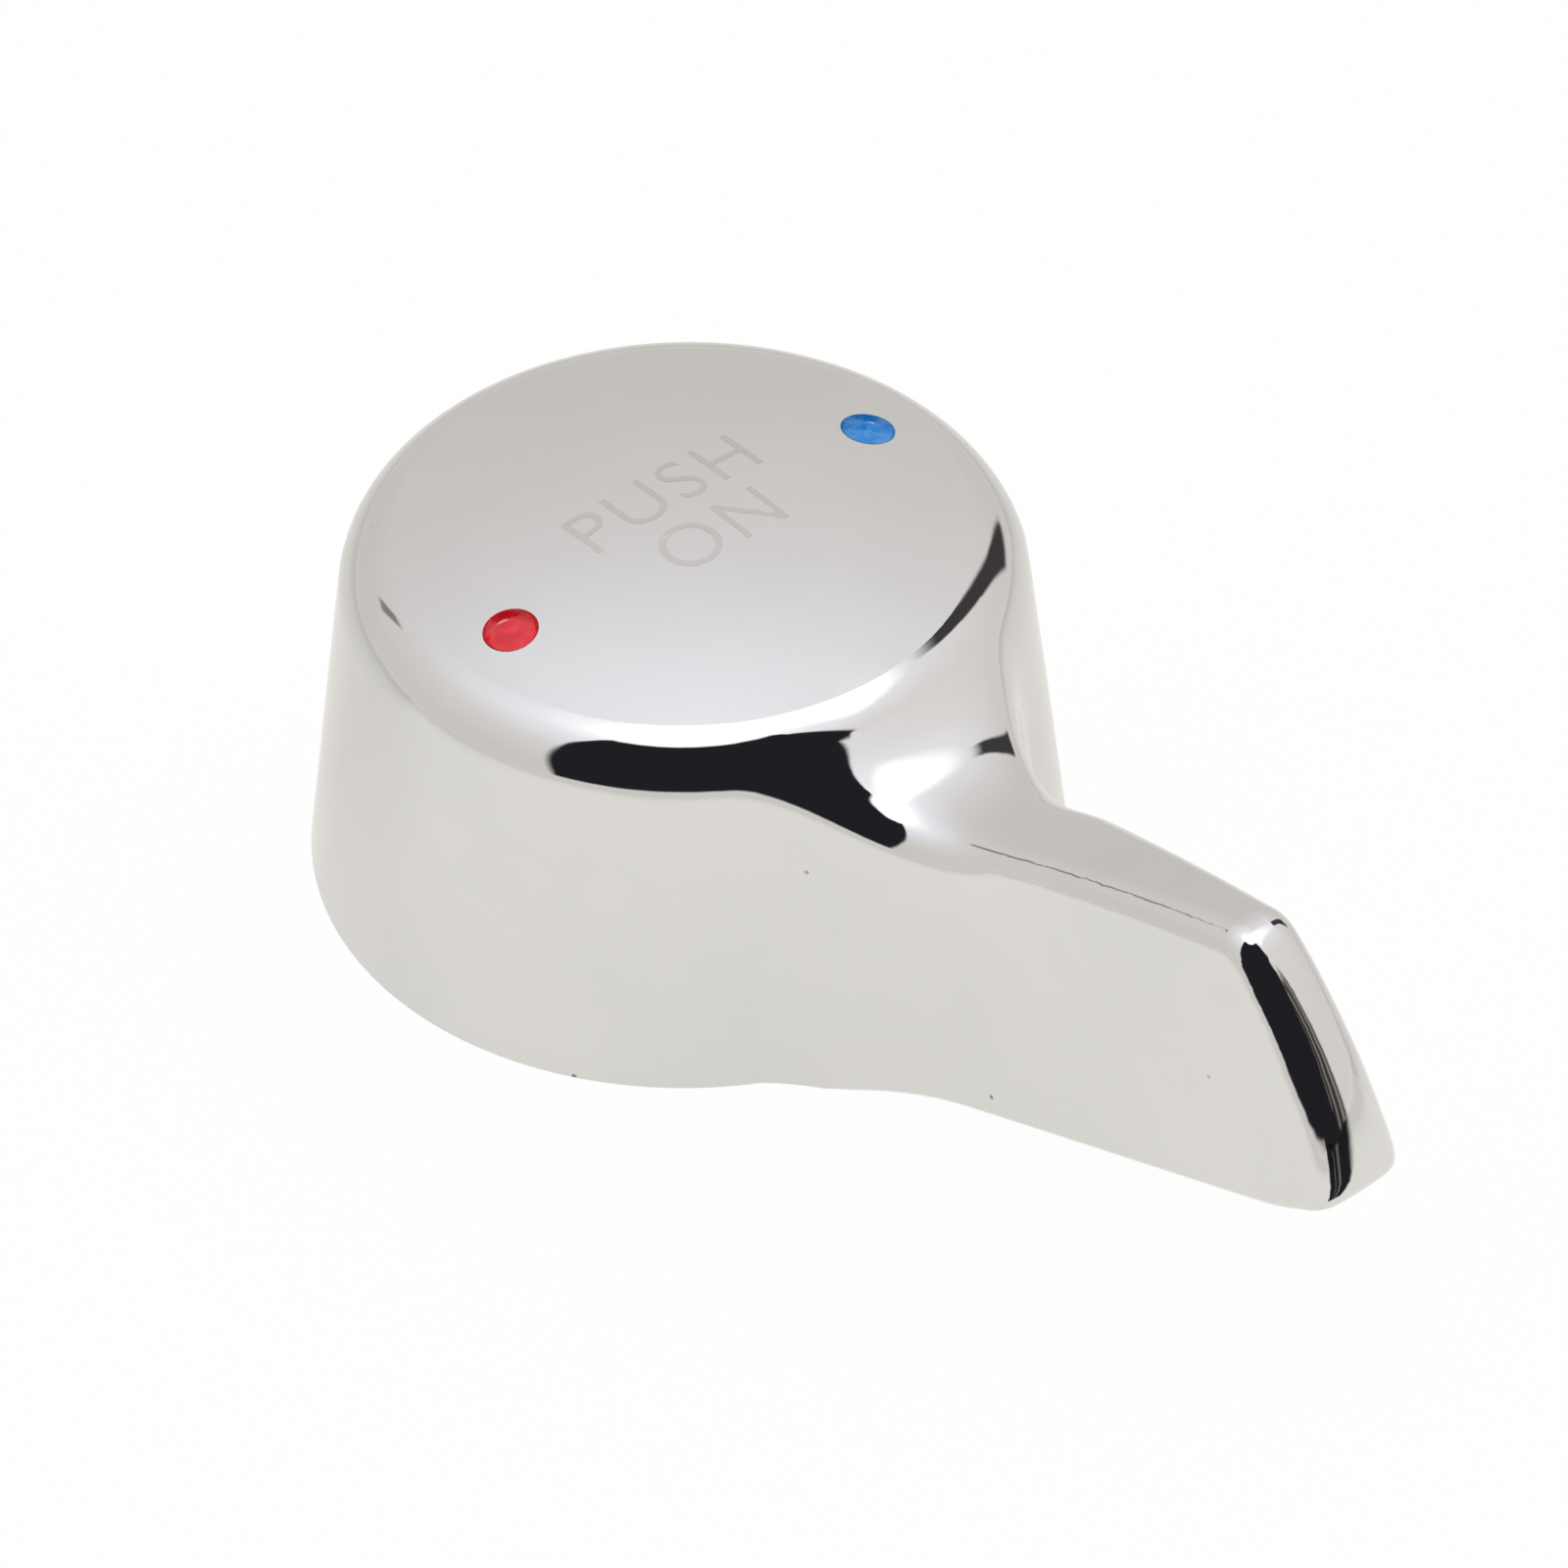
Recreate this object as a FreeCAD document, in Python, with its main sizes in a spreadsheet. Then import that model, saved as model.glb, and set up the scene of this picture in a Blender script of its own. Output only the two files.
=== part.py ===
import FreeCAD, Part
import math
import os

import Sketcher
from FreeCAD import Vector

# Push-type mixer tap handle: a round tapered drum with a crowned top and one raked blade lever.
# Frame: Z is the stem axis, pointing up. The origin is on that axis in the plane of the rim.
# The lever points along +X, with the hot side at -Y and the cold side at +Y.

doc = FreeCAD.newDocument("TapHandle")
sheet = doc.addObject("Spreadsheet::Sheet", "Sizes")

# Every driving size in millimetres, and angles in degrees.
SIZES = [
    # Drum: outer radius at the rim, wall draft, crown height, crown radius, rounded top edge.
    ("rim_r", 25.0),
    ("draft", 6.84),
    ("crown_h", 27.8),
    ("crown_r", 79.3),
    ("shoulder_r", 4.6),
    # Lever seen from the side: reach of its toe, top line, raked end and rising underside.
    ("reach", 64.1),
    ("rake", 10.1),
    ("root_h", 19.4),
    ("top_rise", 16.9),
    ("top_bow_r", 190.0),
    ("end_bow_r", 32.0),
    ("under_gap", 1.0),
    ("under_rise", 18.0),
    # Lever seen from above, at the rim plane: half widths, and the flare into the drum.
    ("root_half", 7.2),
    ("toe_half", 5.3),
    ("flare_r", 18.0),
    ("flare_dip", 0.25),
    ("flare_sink", 10.0),
    # Rounds on the lever, and the throat that sweeps from its top up to the drum's shoulder.
    ("crest_round", 3.0),
    ("edge_round", 2.0),
    ("under_bevel", 0.4),
    ("throat_r", 9.0),
    ("throat_sink", 0.08),
    # Hollow underneath: casting wall, stem boss and the slot that cores the lever.
    ("wall", 2.8),
    ("boss_r", 8.5),
    ("boss_taper", 0.5),
    ("boss_lift", 2.0),
    ("core_w", 4.0),
    ("core_gap", 5.0),
    ("core_back", 14.0),
    ("core_top_in", 14.0),
    ("core_top_out", 18.0),
    # Stem socket: the tap's stem and its running clearance.
    ("stem_r", 4.0),
    ("stem_clear", 0.05),
    ("socket_depth", 16.0),
    ("lead_in", 0.8),
    # Grub screw behind the stem, and the web that carries its hole.
    ("screw_h", 9.0),
    ("screw_r", 2.45),
    ("screw_clear", 0.05),
    ("screw_len", 16.0),
    ("screw_gap", 0.3),
    ("screw_bevel", 0.5),
    ("hex_af", 2.5),
    ("hex_depth", 2.5),
    ("web_w", 9.0),
    ("web_under", 4.5),
    # Hot and cold enamel marks in drilled recesses of the crown.
    ("mark_r", 1.8),
    ("mark_x", 0.75),
    ("mark_y", 15.15),
    ("mark_depth", 0.9),
    ("mark_proud", 0.1),
    ("mark_clear", 0.02),
]
for row, (alias, number) in enumerate(SIZES, start=1):
    sheet.set("A%d" % row, alias)
    sheet.set("B%d" % row, str(number))
    sheet.setAlias("B%d" % row, alias)
doc.recompute()


def size(alias):
    return float(getattr(sheet, alias))


def named(text):
    """Writes an expression with every size name bound to the sheet."""
    for alias, _ in sorted(SIZES, key=lambda entry: -len(entry[0])):
        text = text.replace("<%s>" % alias, "Sizes.%s" % alias)
    return text


def sketch_on(body, name, role):
    plane = [f for f in body.Origin.OriginFeatures if f.Role == role][0]
    sketch = body.newObject("Sketcher::SketchObject", name)
    sketch.AttachmentSupport = (plane, "")
    sketch.MapMode = "FlatFace"
    return sketch


def lift(sketch, expression):
    """Moves a sketch along the normal of its plane."""
    sketch.setExpression(".AttachmentOffset.Base.z", named(expression))


def rule(sketch, *values):
    return sketch.addConstraint(Sketcher.Constraint(*values))


def sized(sketch, label, expression, *values):
    index = sketch.addConstraint(Sketcher.Constraint(*values))
    sketch.renameConstraint(index, label)
    sketch.setExpression("Constraints." + label, named(expression))


def line(sketch, start, end):
    return sketch.addGeometry(Part.LineSegment(Vector(*start, 0), Vector(*end, 0)), False)


def arc(sketch, centre, start, end):
    """Counter-clockwise arc from start to end."""
    first = math.atan2(start[1] - centre[1], start[0] - centre[0])
    last = math.atan2(end[1] - centre[1], end[0] - centre[0])
    if last < first:
        last += 2 * math.pi
    circle = Part.Circle(Vector(*centre, 0), Vector(0, 0, 1), math.dist(centre, start))
    return sketch.addGeometry(Part.ArcOfCircle(circle, first, last), False)


def guide(sketch, at, label, x_expression, y_expression, left=False):
    """Construction point held at its own two sizes."""
    index = sketch.addGeometry(Part.Point(Vector(*at, 0)), True)
    if left:
        sized(sketch, label + "_x", x_expression, "DistanceX", index, 1, -1, 1, -at[0])
    else:
        sized(sketch, label + "_x", x_expression, "DistanceX", -1, 1, index, 1, at[0])
    sized(sketch, label + "_y", y_expression, "DistanceY", -1, 1, index, 1, at[1])
    return index


def at_x(sketch, label, geometry, point, value, expression):
    if value < 0:
        expression = "-(%s)" % expression
        sized(sketch, label, expression, "DistanceX", geometry, point, -1, 1, -value)
    else:
        sized(sketch, label, expression, "DistanceX", -1, 1, geometry, point, value)


def at_y(sketch, label, geometry, point, value, expression):
    if value < 0:
        expression = "-(%s)" % expression
        sized(sketch, label, expression, "DistanceY", geometry, point, -1, 1, -value)
    else:
        sized(sketch, label, expression, "DistanceY", -1, 1, geometry, point, value)


def polygon(sketch, corners):
    """Closed outline with every corner held by its own x and y, as (x, y, x text, y text)."""
    count = len(corners)
    lines = []
    for index in range(count):
        start = corners[index]
        end = corners[(index + 1) % count]
        lines.append(line(sketch, start[:2], end[:2]))
    for index in range(count):
        rule(sketch, "Coincident", lines[index - 1], 2, lines[index], 1)
        x, y, x_text, y_text = corners[index]
        at_x(sketch, "p%d_x" % index, lines[index], 1, x, x_text)
        at_y(sketch, "p%d_y" % index, lines[index], 1, y, y_text)
    return lines


def middle(edge):
    return edge.valueAt((edge.FirstParameter + edge.LastParameter) / 2)


def tips(edge):
    return edge.valueAt(edge.FirstParameter), edge.valueAt(edge.LastParameter)


def edge_names(feature, wanted):
    return ["Edge%d" % (i + 1) for i, edge in enumerate(feature.Shape.Edges) if wanted(edge)]


def round_edges(body, feature, name, wanted, expression):
    doc.recompute()
    names = edge_names(feature, wanted)
    if not names:
        raise RuntimeError(name + " found no edge")
    fillet = body.newObject("PartDesign::Fillet", name)
    fillet.Base = (feature, names)
    fillet.setExpression("Radius", named(expression))
    doc.recompute()
    return fillet


# Plain numbers that only start the sketches near their solved form.
slope = math.tan(math.radians(size("draft")))
rim_r = size("rim_r")
crown_h = size("crown_h")
crown_r = size("crown_r")
shoulder_r = size("shoulder_r")
reach = size("reach")
wall = size("wall")
crest_x = reach - size("rake")
crest_h = size("root_h") + math.tan(math.radians(size("top_rise"))) * (crest_x - rim_r)
under_x = rim_r + size("under_gap")
under_slope = math.tan(math.radians(size("under_rise")))
toe_h = under_slope * (reach - under_x)
crown_c = crown_h - crown_r

CREST_X = "(<reach> - <rake>)"
CREST_H = "(<root_h> + tan(<top_rise>) * (<reach> - <rake> - <rim_r>))"
UNDER_X = "(<rim_r> + <under_gap>)"
TOE_H = "(tan(<under_rise>) * (<reach> - <rim_r> - <under_gap>))"
BLANK_H = "(%s + <crest_round>)" % CREST_H
blank_h = crest_h + size("crest_round")

# The casting starts with the lever: a plan outline drawn upward with the drum's own draft.
handle = doc.addObject("PartDesign::Body", "handle_body")
plan = sketch_on(handle, "LeverPlan", "XY_Plane")
plan_end = reach + size("crest_round")
taper = (size("toe_half") - size("root_half")) / (reach - rim_r)
flare_r = size("flare_r")
lean = math.atan(taper)
axis_gap = rim_r + flare_r - size("flare_dip")


def half_width(x):
    return size("root_half") + taper * (x - rim_r)


# The flare's centre lies one flare radius outside the lever's side and at its set distance from the stem axis.
offset_y = (half_width(0) + flare_r / math.cos(lean)) * math.cos(lean)
along = math.sqrt(axis_gap ** 2 - offset_y ** 2)
flare_c = (along * math.cos(lean) - offset_y * math.sin(lean),
           along * math.sin(lean) + offset_y * math.cos(lean))
flare_at = (flare_c[0] + flare_r * math.sin(lean), flare_c[1] - flare_r * math.cos(lean))
dip_at = (flare_c[0] * (1 - flare_r / axis_gap), flare_c[1] * (1 - flare_r / axis_gap))
sink_x = size("flare_sink")
end_y = half_width(plan_end)
far_side = line(plan, (plan_end, end_y), flare_at)
near_side = line(plan, (flare_at[0], -flare_at[1]), (plan_end, -end_y))
outer_close = line(plan, (plan_end, -end_y), (plan_end, end_y))
far_flare = arc(plan, flare_c, dip_at, flare_at)
near_flare = arc(plan, (flare_c[0], -flare_c[1]), (flare_at[0], -flare_at[1]), (dip_at[0], -dip_at[1]))
far_sink = line(plan, dip_at, (sink_x, size("root_half")))
near_sink = line(plan, (sink_x, -size("root_half")), (dip_at[0], -dip_at[1]))
inner_close = line(plan, (sink_x, size("root_half")), (sink_x, -size("root_half")))
radial = plan.addGeometry(Part.LineSegment(Vector(0, 0, 0), Vector(*flare_c, 0)), True)
rule(plan, "Coincident", near_side, 2, outer_close, 1)
rule(plan, "Coincident", outer_close, 2, far_side, 1)
rule(plan, "Tangent", far_side, 2, far_flare, 2)
rule(plan, "Tangent", near_side, 1, near_flare, 1)
rule(plan, "Coincident", far_flare, 1, far_sink, 1)
rule(plan, "Coincident", near_flare, 2, near_sink, 2)
rule(plan, "Coincident", far_sink, 2, inner_close, 1)
rule(plan, "Coincident", near_sink, 1, inner_close, 2)
rule(plan, "Coincident", radial, 1, -1, 1)
rule(plan, "Coincident", radial, 2, far_flare, 3)
rule(plan, "PointOnObject", far_flare, 1, radial)
rule(plan, "Symmetric", far_side, 1, near_side, 2, -1)
rule(plan, "Symmetric", far_side, 2, near_side, 1, -1)
rule(plan, "Symmetric", far_flare, 1, near_flare, 2, -1)
rule(plan, "Symmetric", inner_close, 1, inner_close, 2, -1)
root_mark = guide(plan, (rim_r, size("root_half")), "root", "<rim_r>", "<root_half>")
toe_mark = guide(plan, (reach, size("toe_half")), "toe", "<reach>", "<toe_half>")
rule(plan, "PointOnObject", root_mark, 1, far_side)
rule(plan, "PointOnObject", toe_mark, 1, far_side)
at_x(plan, "close_at", outer_close, 1, plan_end, "<reach> + <crest_round>")
at_x(plan, "sink_at", inner_close, 1, sink_x, "<flare_sink>")
at_y(plan, "sink_half", inner_close, 1, size("root_half"), "<root_half>")
sized(plan, "flare_radius", "<flare_r>", "Radius", far_flare, flare_r)
sized(plan, "flare_gap", "<rim_r> + <flare_r> - <flare_dip>", "Distance", radial, axis_gap)

blank = handle.newObject("PartDesign::Pad", "LeverBlank")
blank.Profile = plan
blank.setExpression("Length", named(BLANK_H))
blank.setExpression("TaperAngle", named("-<draft>"))
doc.recompute()

# Side view of the lever: everything outside this outline is cut away across the blank.
side = sketch_on(handle, "LeverSide", "XZ_Plane")
keep_x = sink_x / 2
top_r = size("top_bow_r")
end_r = size("end_bow_r")


def bow_centre(start, end, radius):
    """Centre of the counter-clockwise arc from start to end that bulges away from it."""
    chord = (end[0] - start[0], end[1] - start[1])
    length = math.hypot(*chord)
    rise = math.sqrt(radius ** 2 - length ** 2 / 4)
    mid = ((start[0] + end[0]) / 2, (start[1] + end[1]) / 2)
    return (mid[0] - chord[1] / length * rise, mid[1] + chord[0] / length * rise)


root_top = (rim_r, size("root_h"))
top_c = bow_centre((crest_x, crest_h), root_top, top_r)
end_c = bow_centre((reach, toe_h), (crest_x, crest_h), end_r)
side_top = blank_h + size("crest_round")
end_top = end_c[0] + math.sqrt(end_r ** 2 - (side_top - end_c[1]) ** 2)
floor_line = line(side, (keep_x, 0), (under_x, 0))
under_line = line(side, (under_x, 0), (reach, toe_h))
end_arc = arc(side, end_c, (reach, toe_h), (end_top, side_top))
top_line = line(side, (end_top, side_top), (keep_x, side_top))
inner_line = line(side, (keep_x, side_top), (keep_x, 0))
rule(side, "Coincident", floor_line, 2, under_line, 1)
rule(side, "Coincident", under_line, 2, end_arc, 1)
rule(side, "Coincident", end_arc, 2, top_line, 1)
rule(side, "Coincident", top_line, 2, inner_line, 1)
rule(side, "Coincident", inner_line, 2, floor_line, 1)
rule(side, "Horizontal", top_line)
rule(side, "Vertical", inner_line)
rule(side, "PointOnObject", floor_line, 1, -1)
rule(side, "PointOnObject", floor_line, 2, -1)
at_x(side, "keep_at", floor_line, 1, keep_x, "<flare_sink> / 2")
at_x(side, "under_at", floor_line, 2, under_x, UNDER_X)
at_x(side, "toe_x", under_line, 2, reach, "<reach>")
at_y(side, "toe_z", under_line, 2, toe_h, TOE_H)
at_y(side, "side_top", top_line, 1, side_top, BLANK_H + " + <crest_round>")
sized(side, "end_radius", "<end_bow_r>", "Radius", end_arc, end_r)
crest_point = guide(side, (crest_x, crest_h), "crest", CREST_X, CREST_H)
rule(side, "PointOnObject", crest_point, 1, end_arc)
frame_x = reach + 2 * rim_r
frame_z = blank_h + rim_r
frame = [line(side, (0, -rim_r), (frame_x, -rim_r)), line(side, (frame_x, -rim_r), (frame_x, frame_z)),
         line(side, (frame_x, frame_z), (0, frame_z)), line(side, (0, frame_z), (0, -rim_r))]
for index in range(4):
    rule(side, "Coincident", frame[index - 1], 2, frame[index], 1)
rule(side, "Horizontal", frame[0])
rule(side, "Vertical", frame[1])
rule(side, "Horizontal", frame[2])
rule(side, "PointOnObject", frame[0], 1, -2)
rule(side, "PointOnObject", frame[3], 1, -2)
at_x(side, "frame_x", frame[1], 1, frame_x, "<reach> + 2 * <rim_r>")
sized(side, "frame_low", "<rim_r>", "DistanceY", frame[0], 1, -1, 1, rim_r)
sized(side, "frame_high", BLANK_H + " + <rim_r>", "DistanceY", -1, 1, frame[3], 1, frame_z)
trim = handle.newObject("PartDesign::Pocket", "LeverTrim")
trim.Profile = side
trim.Midplane = True
trim.setExpression("Length", named("8 * <rim_r>"))
doc.recompute()

# Top of the lever, turned about the stem axis: the bowed top, the throat that sweeps up to the drum, and a run
# that stays just under the drum's shoulder.
inset = shoulder_r * math.sqrt(1 + slope ** 2)
qa = slope ** 2 + 1
qb = -2 * slope * (rim_r - inset) - 2 * crown_c
qc = (rim_r - inset) ** 2 + crown_c ** 2 - (crown_r - shoulder_r) ** 2
shoulder_z = (-qb + math.sqrt(qb ** 2 - 4 * qa * qc)) / (2 * qa)
shoulder_x = rim_r - slope * shoulder_z - inset
tilt = math.radians(size("draft"))
wall_top = (-(shoulder_x + shoulder_r * math.cos(tilt)), shoulder_z + shoulder_r * math.sin(tilt))
reach_c = math.hypot(shoulder_x, shoulder_z - crown_c)
crown_edge = (-shoulder_x * crown_r / reach_c, crown_c + (shoulder_z - crown_c) * crown_r / reach_c)
turned = sketch_on(handle, "LeverTopSection", "XZ_Plane")
throat_r = size("throat_r")
under_r = shoulder_r - size("throat_sink")


def meet(first, first_r, second, second_r):
    """Upper point at the given distances from two centres."""
    apart = math.dist(first, second)
    share = (first_r ** 2 - second_r ** 2 + apart ** 2) / (2 * apart)
    off = math.sqrt(first_r ** 2 - share ** 2)
    ux, uz = (second[0] - first[0]) / apart, (second[1] - first[1]) / apart
    return (first[0] + ux * share - uz * off, first[1] + uz * share + ux * off)


def toward(start, end, distance):
    share = distance / math.dist(start, end)
    return (start[0] + (end[0] - start[0]) * share, start[1] + (end[1] - start[1]) * share)


shoulder_c = (-shoulder_x, shoulder_z)
bow_c = (-top_c[0], top_c[1])
throat_c = meet(bow_c, top_r + throat_r, shoulder_c, under_r + throat_r)
throat_out = toward(bow_c, throat_c, top_r)
throat_in = toward(shoulder_c, throat_c, under_r)
under_top = (-shoulder_x, shoulder_z + under_r)
out_x = -(reach + rim_r)
out_z = bow_c[1] + math.sqrt(top_r ** 2 - (out_x - bow_c[0]) ** 2)
high_z = blank_h + rim_r
t_bow = arc(turned, bow_c, throat_out, (out_x, out_z))
t_throat = arc(turned, throat_c, throat_out, throat_in)
t_under = arc(turned, shoulder_c, under_top, throat_in)
t_flat = line(turned, under_top, (0, under_top[1]))
t_axis = line(turned, (0, under_top[1]), (0, high_z))
t_high = line(turned, (0, high_z), (out_x, high_z))
t_out = line(turned, (out_x, high_z), (out_x, out_z))
hold_arc = turned.addGeometry(Part.ArcOfCircle(
    Part.Circle(Vector(*shoulder_c, 0), Vector(0, 0, 1), shoulder_r),
    math.atan2(crown_edge[1] - shoulder_z, crown_edge[0] + shoulder_x),
    math.atan2(wall_top[1] - shoulder_z, wall_top[0] + shoulder_x)), True)
hold_wall = turned.addGeometry(Part.LineSegment(Vector(-rim_r, 0, 0), Vector(*wall_top, 0)), True)
hold_crown = turned.addGeometry(Part.ArcOfCircle(
    Part.Circle(Vector(0, crown_c, 0), Vector(0, 0, 1), crown_r),
    math.pi / 2, math.atan2(crown_edge[1] - crown_c, crown_edge[0])), True)
rule(turned, "Tangent", hold_wall, 2, hold_arc, 2)
rule(turned, "Tangent", hold_arc, 1, hold_crown, 2)
rule(turned, "PointOnObject", hold_wall, 1, -1)
rule(turned, "PointOnObject", hold_crown, 3, -2)
rule(turned, "PointOnObject", hold_crown, 1, -2)
sized(turned, "wall_foot", "<rim_r>", "DistanceX", hold_wall, 1, -1, 1, rim_r)
wall_mark = guide(turned, (-(rim_r - slope * crown_h), crown_h), "wall_aim",
                  "<rim_r> - tan(<draft>) * <crown_h>", "<crown_h>", left=True)
rule(turned, "PointOnObject", wall_mark, 1, hold_wall)
sized(turned, "crown", "<crown_r>", "Radius", hold_crown, crown_r)
sized(turned, "crown_up", "<crown_h>", "DistanceY", -1, 1, hold_crown, 1, crown_h)
sized(turned, "shoulder", "<shoulder_r>", "Radius", hold_arc, shoulder_r)
rule(turned, "Tangent", t_throat, 1, t_bow, 1)
rule(turned, "Tangent", t_throat, 2, t_under, 2)
rule(turned, "Coincident", t_under, 3, hold_arc, 3)
rule(turned, "Tangent", t_flat, 1, t_under, 1)
rule(turned, "Horizontal", t_flat)
rule(turned, "Coincident", t_flat, 2, t_axis, 1)
rule(turned, "PointOnObject", t_axis, 1, -2)
rule(turned, "PointOnObject", t_axis, 2, -2)
rule(turned, "Coincident", t_axis, 2, t_high, 1)
rule(turned, "Horizontal", t_high)
rule(turned, "Coincident", t_high, 2, t_out, 1)
rule(turned, "Vertical", t_out)
rule(turned, "Coincident", t_out, 2, t_bow, 2)
at_x(turned, "out_x", t_out, 1, out_x, "-(<reach> + <rim_r>)")
at_y(turned, "high_z", t_high, 1, high_z, BLANK_H + " + <rim_r>")
sized(turned, "bow", "<top_bow_r>", "Radius", t_bow, top_r)
sized(turned, "throat", "<throat_r>", "Radius", t_throat, throat_r)
sized(turned, "under", "<shoulder_r> - <throat_sink>", "Radius", t_under, under_r)
root_point = guide(turned, (-rim_r, size("root_h")), "root_top", "<rim_r>", "<root_h>", left=True)
crest_mark = guide(turned, (-crest_x, crest_h), "crest_top", CREST_X, CREST_H, left=True)
rule(turned, "PointOnObject", root_point, 1, t_bow)
rule(turned, "PointOnObject", crest_mark, 1, t_bow)
lever_top = handle.newObject("PartDesign::Groove", "LeverTop")
lever_top.Profile = turned
lever_top.ReferenceAxis = (turned, ["V_Axis"])
lever_top.Angle = 360.0
doc.recompute()



def floor_z(x):
    return max(0.0, under_slope * (x - under_x))


def is_crest(edge):
    first, last = tips(edge)
    near = all(math.hypot(p.x - crest_x, p.z - crest_h) < 0.5 for p in (first, last))
    return near and abs(first.y - last.y) > 1


crest = round_edges(handle, lever_top, "CrestRound", is_crest, "<crest_round>")


def is_lever_edge(edge):
    """Long edges between the lever's two sides and its top and end."""
    first, last = tips(edge)
    mid = middle(edge)
    if abs(mid.y) < 0.3 or abs(first.y + last.y) < 0.01:
        return False
    grounded = sum(p.z < floor_z(p.x) + 0.05 for p in (first, last, mid))
    if grounded >= 2:
        return False
    upright = abs(first.x - last.x) < 0.35 * abs(first.z - last.z)
    return not (upright and mid.x < crest_x)


sides_round = round_edges(handle, crest, "LeverEdges", is_lever_edge, "<edge_round>")


def is_under_edge(edge):
    """Edges that border the lever's rising underside, apart from its straight start."""
    first, last = tips(edge)
    points = (first, middle(edge), last)
    on_under = all(abs(p.z - under_slope * (p.x - under_x)) < 0.01 for p in points)
    return on_under and middle(edge).x > under_x + 0.05


under_edges = edge_names(sides_round, is_under_edge)
if not under_edges:
    raise RuntimeError("UnderEdges found no edge")
lever = handle.newObject("PartDesign::Chamfer", "UnderEdges")
lever.Base = (sides_round, under_edges)
lever.setExpression("Size", named("<under_bevel>"))
doc.recompute()

# The drum, turned about the stem axis: drafted wall and rounded shoulder, left tall enough for the crown.
drum_h = crown_h + shoulder_r
drum_sketch = sketch_on(handle, "DrumSection", "XZ_Plane")
base_line = line(drum_sketch, (0, 0), (-rim_r, 0))
wall_line = line(drum_sketch, (-rim_r, 0), wall_top)
shoulder_arc = arc(drum_sketch, (-shoulder_x, shoulder_z), crown_edge, wall_top)
rise_line = line(drum_sketch, crown_edge, (crown_edge[0], drum_h))
drum_top = line(drum_sketch, (crown_edge[0], drum_h), (0, drum_h))
axis_line = line(drum_sketch, (0, drum_h), (0, 0))
crown_guide = drum_sketch.addGeometry(Part.ArcOfCircle(
    Part.Circle(Vector(0, crown_c, 0), Vector(0, 0, 1), crown_r),
    math.pi / 2, math.atan2(crown_edge[1] - crown_c, crown_edge[0])), True)
rule(drum_sketch, "Coincident", base_line, 1, -1, 1)
rule(drum_sketch, "PointOnObject", base_line, 2, -1)
rule(drum_sketch, "Coincident", base_line, 2, wall_line, 1)
rule(drum_sketch, "Tangent", wall_line, 2, shoulder_arc, 2)
rule(drum_sketch, "Tangent", shoulder_arc, 1, crown_guide, 2)
rule(drum_sketch, "PointOnObject", crown_guide, 3, -2)
rule(drum_sketch, "PointOnObject", crown_guide, 1, -2)
rule(drum_sketch, "Coincident", rise_line, 1, shoulder_arc, 1)
rule(drum_sketch, "Vertical", rise_line)
rule(drum_sketch, "Coincident", rise_line, 2, drum_top, 1)
rule(drum_sketch, "Horizontal", drum_top)
rule(drum_sketch, "Coincident", drum_top, 2, axis_line, 1)
rule(drum_sketch, "PointOnObject", axis_line, 1, -2)
rule(drum_sketch, "Coincident", axis_line, 2, -1, 1)
sized(drum_sketch, "rim", "<rim_r>", "DistanceX", base_line, 2, -1, 1, rim_r)
sized(drum_sketch, "height", "<crown_h> + <shoulder_r>", "DistanceY", -1, 1, axis_line, 1, drum_h)
sized(drum_sketch, "crown", "<crown_r>", "Radius", crown_guide, crown_r)
sized(drum_sketch, "crown_up", "<crown_h>", "DistanceY", -1, 1, crown_guide, 1, crown_h)
sized(drum_sketch, "shoulder", "<shoulder_r>", "Radius", shoulder_arc, shoulder_r)
wall_mark = guide(drum_sketch, (-(rim_r - slope * crown_h), crown_h), "wall_aim",
                  "<rim_r> - tan(<draft>) * <crown_h>", "<crown_h>", left=True)
rule(drum_sketch, "PointOnObject", wall_mark, 1, wall_line)
drum = handle.newObject("PartDesign::Revolution", "Drum")
drum.Profile = drum_sketch
drum.ReferenceAxis = (drum_sketch, ["V_Axis"])
drum.Angle = 360.0
doc.recompute()

# Crowned top: a slice of a large ball, cut by swinging its arc across the drum.
crown_sketch = sketch_on(handle, "CrownSection", "XZ_Plane")
crown_edge_z = crown_c + math.sqrt(crown_r ** 2 - rim_r ** 2)
crown_top = crown_h + 3 * shoulder_r
swing = crown_sketch.addGeometry(Part.LineSegment(Vector(-rim_r, crown_c, 0), Vector(rim_r, crown_c, 0)), True)
c_arc = arc(crown_sketch, (0, crown_c), (rim_r, crown_edge_z), (-rim_r, crown_edge_z))
c_left = line(crown_sketch, (-rim_r, crown_edge_z), (-rim_r, crown_top))
c_top = line(crown_sketch, (-rim_r, crown_top), (rim_r, crown_top))
c_right = line(crown_sketch, (rim_r, crown_top), (rim_r, crown_edge_z))
rule(crown_sketch, "Coincident", c_arc, 2, c_left, 1)
rule(crown_sketch, "Coincident", c_left, 2, c_top, 1)
rule(crown_sketch, "Coincident", c_top, 2, c_right, 1)
rule(crown_sketch, "Coincident", c_right, 2, c_arc, 1)
rule(crown_sketch, "Vertical", c_left)
rule(crown_sketch, "Vertical", c_right)
rule(crown_sketch, "Symmetric", c_left, 2, c_right, 1, -2)
rule(crown_sketch, "PointOnObject", c_arc, 3, -2)
rule(crown_sketch, "PointOnObject", c_arc, 3, swing)
rule(crown_sketch, "Symmetric", swing, 1, swing, 2, -2)
sized(crown_sketch, "swing_half", "<rim_r>", "DistanceX", -1, 1, swing, 2, rim_r)
sized(crown_sketch, "crown", "<crown_r>", "Radius", c_arc, crown_r)
sized(crown_sketch, "half", "<rim_r>", "DistanceX", -1, 1, c_right, 1, rim_r)
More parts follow.
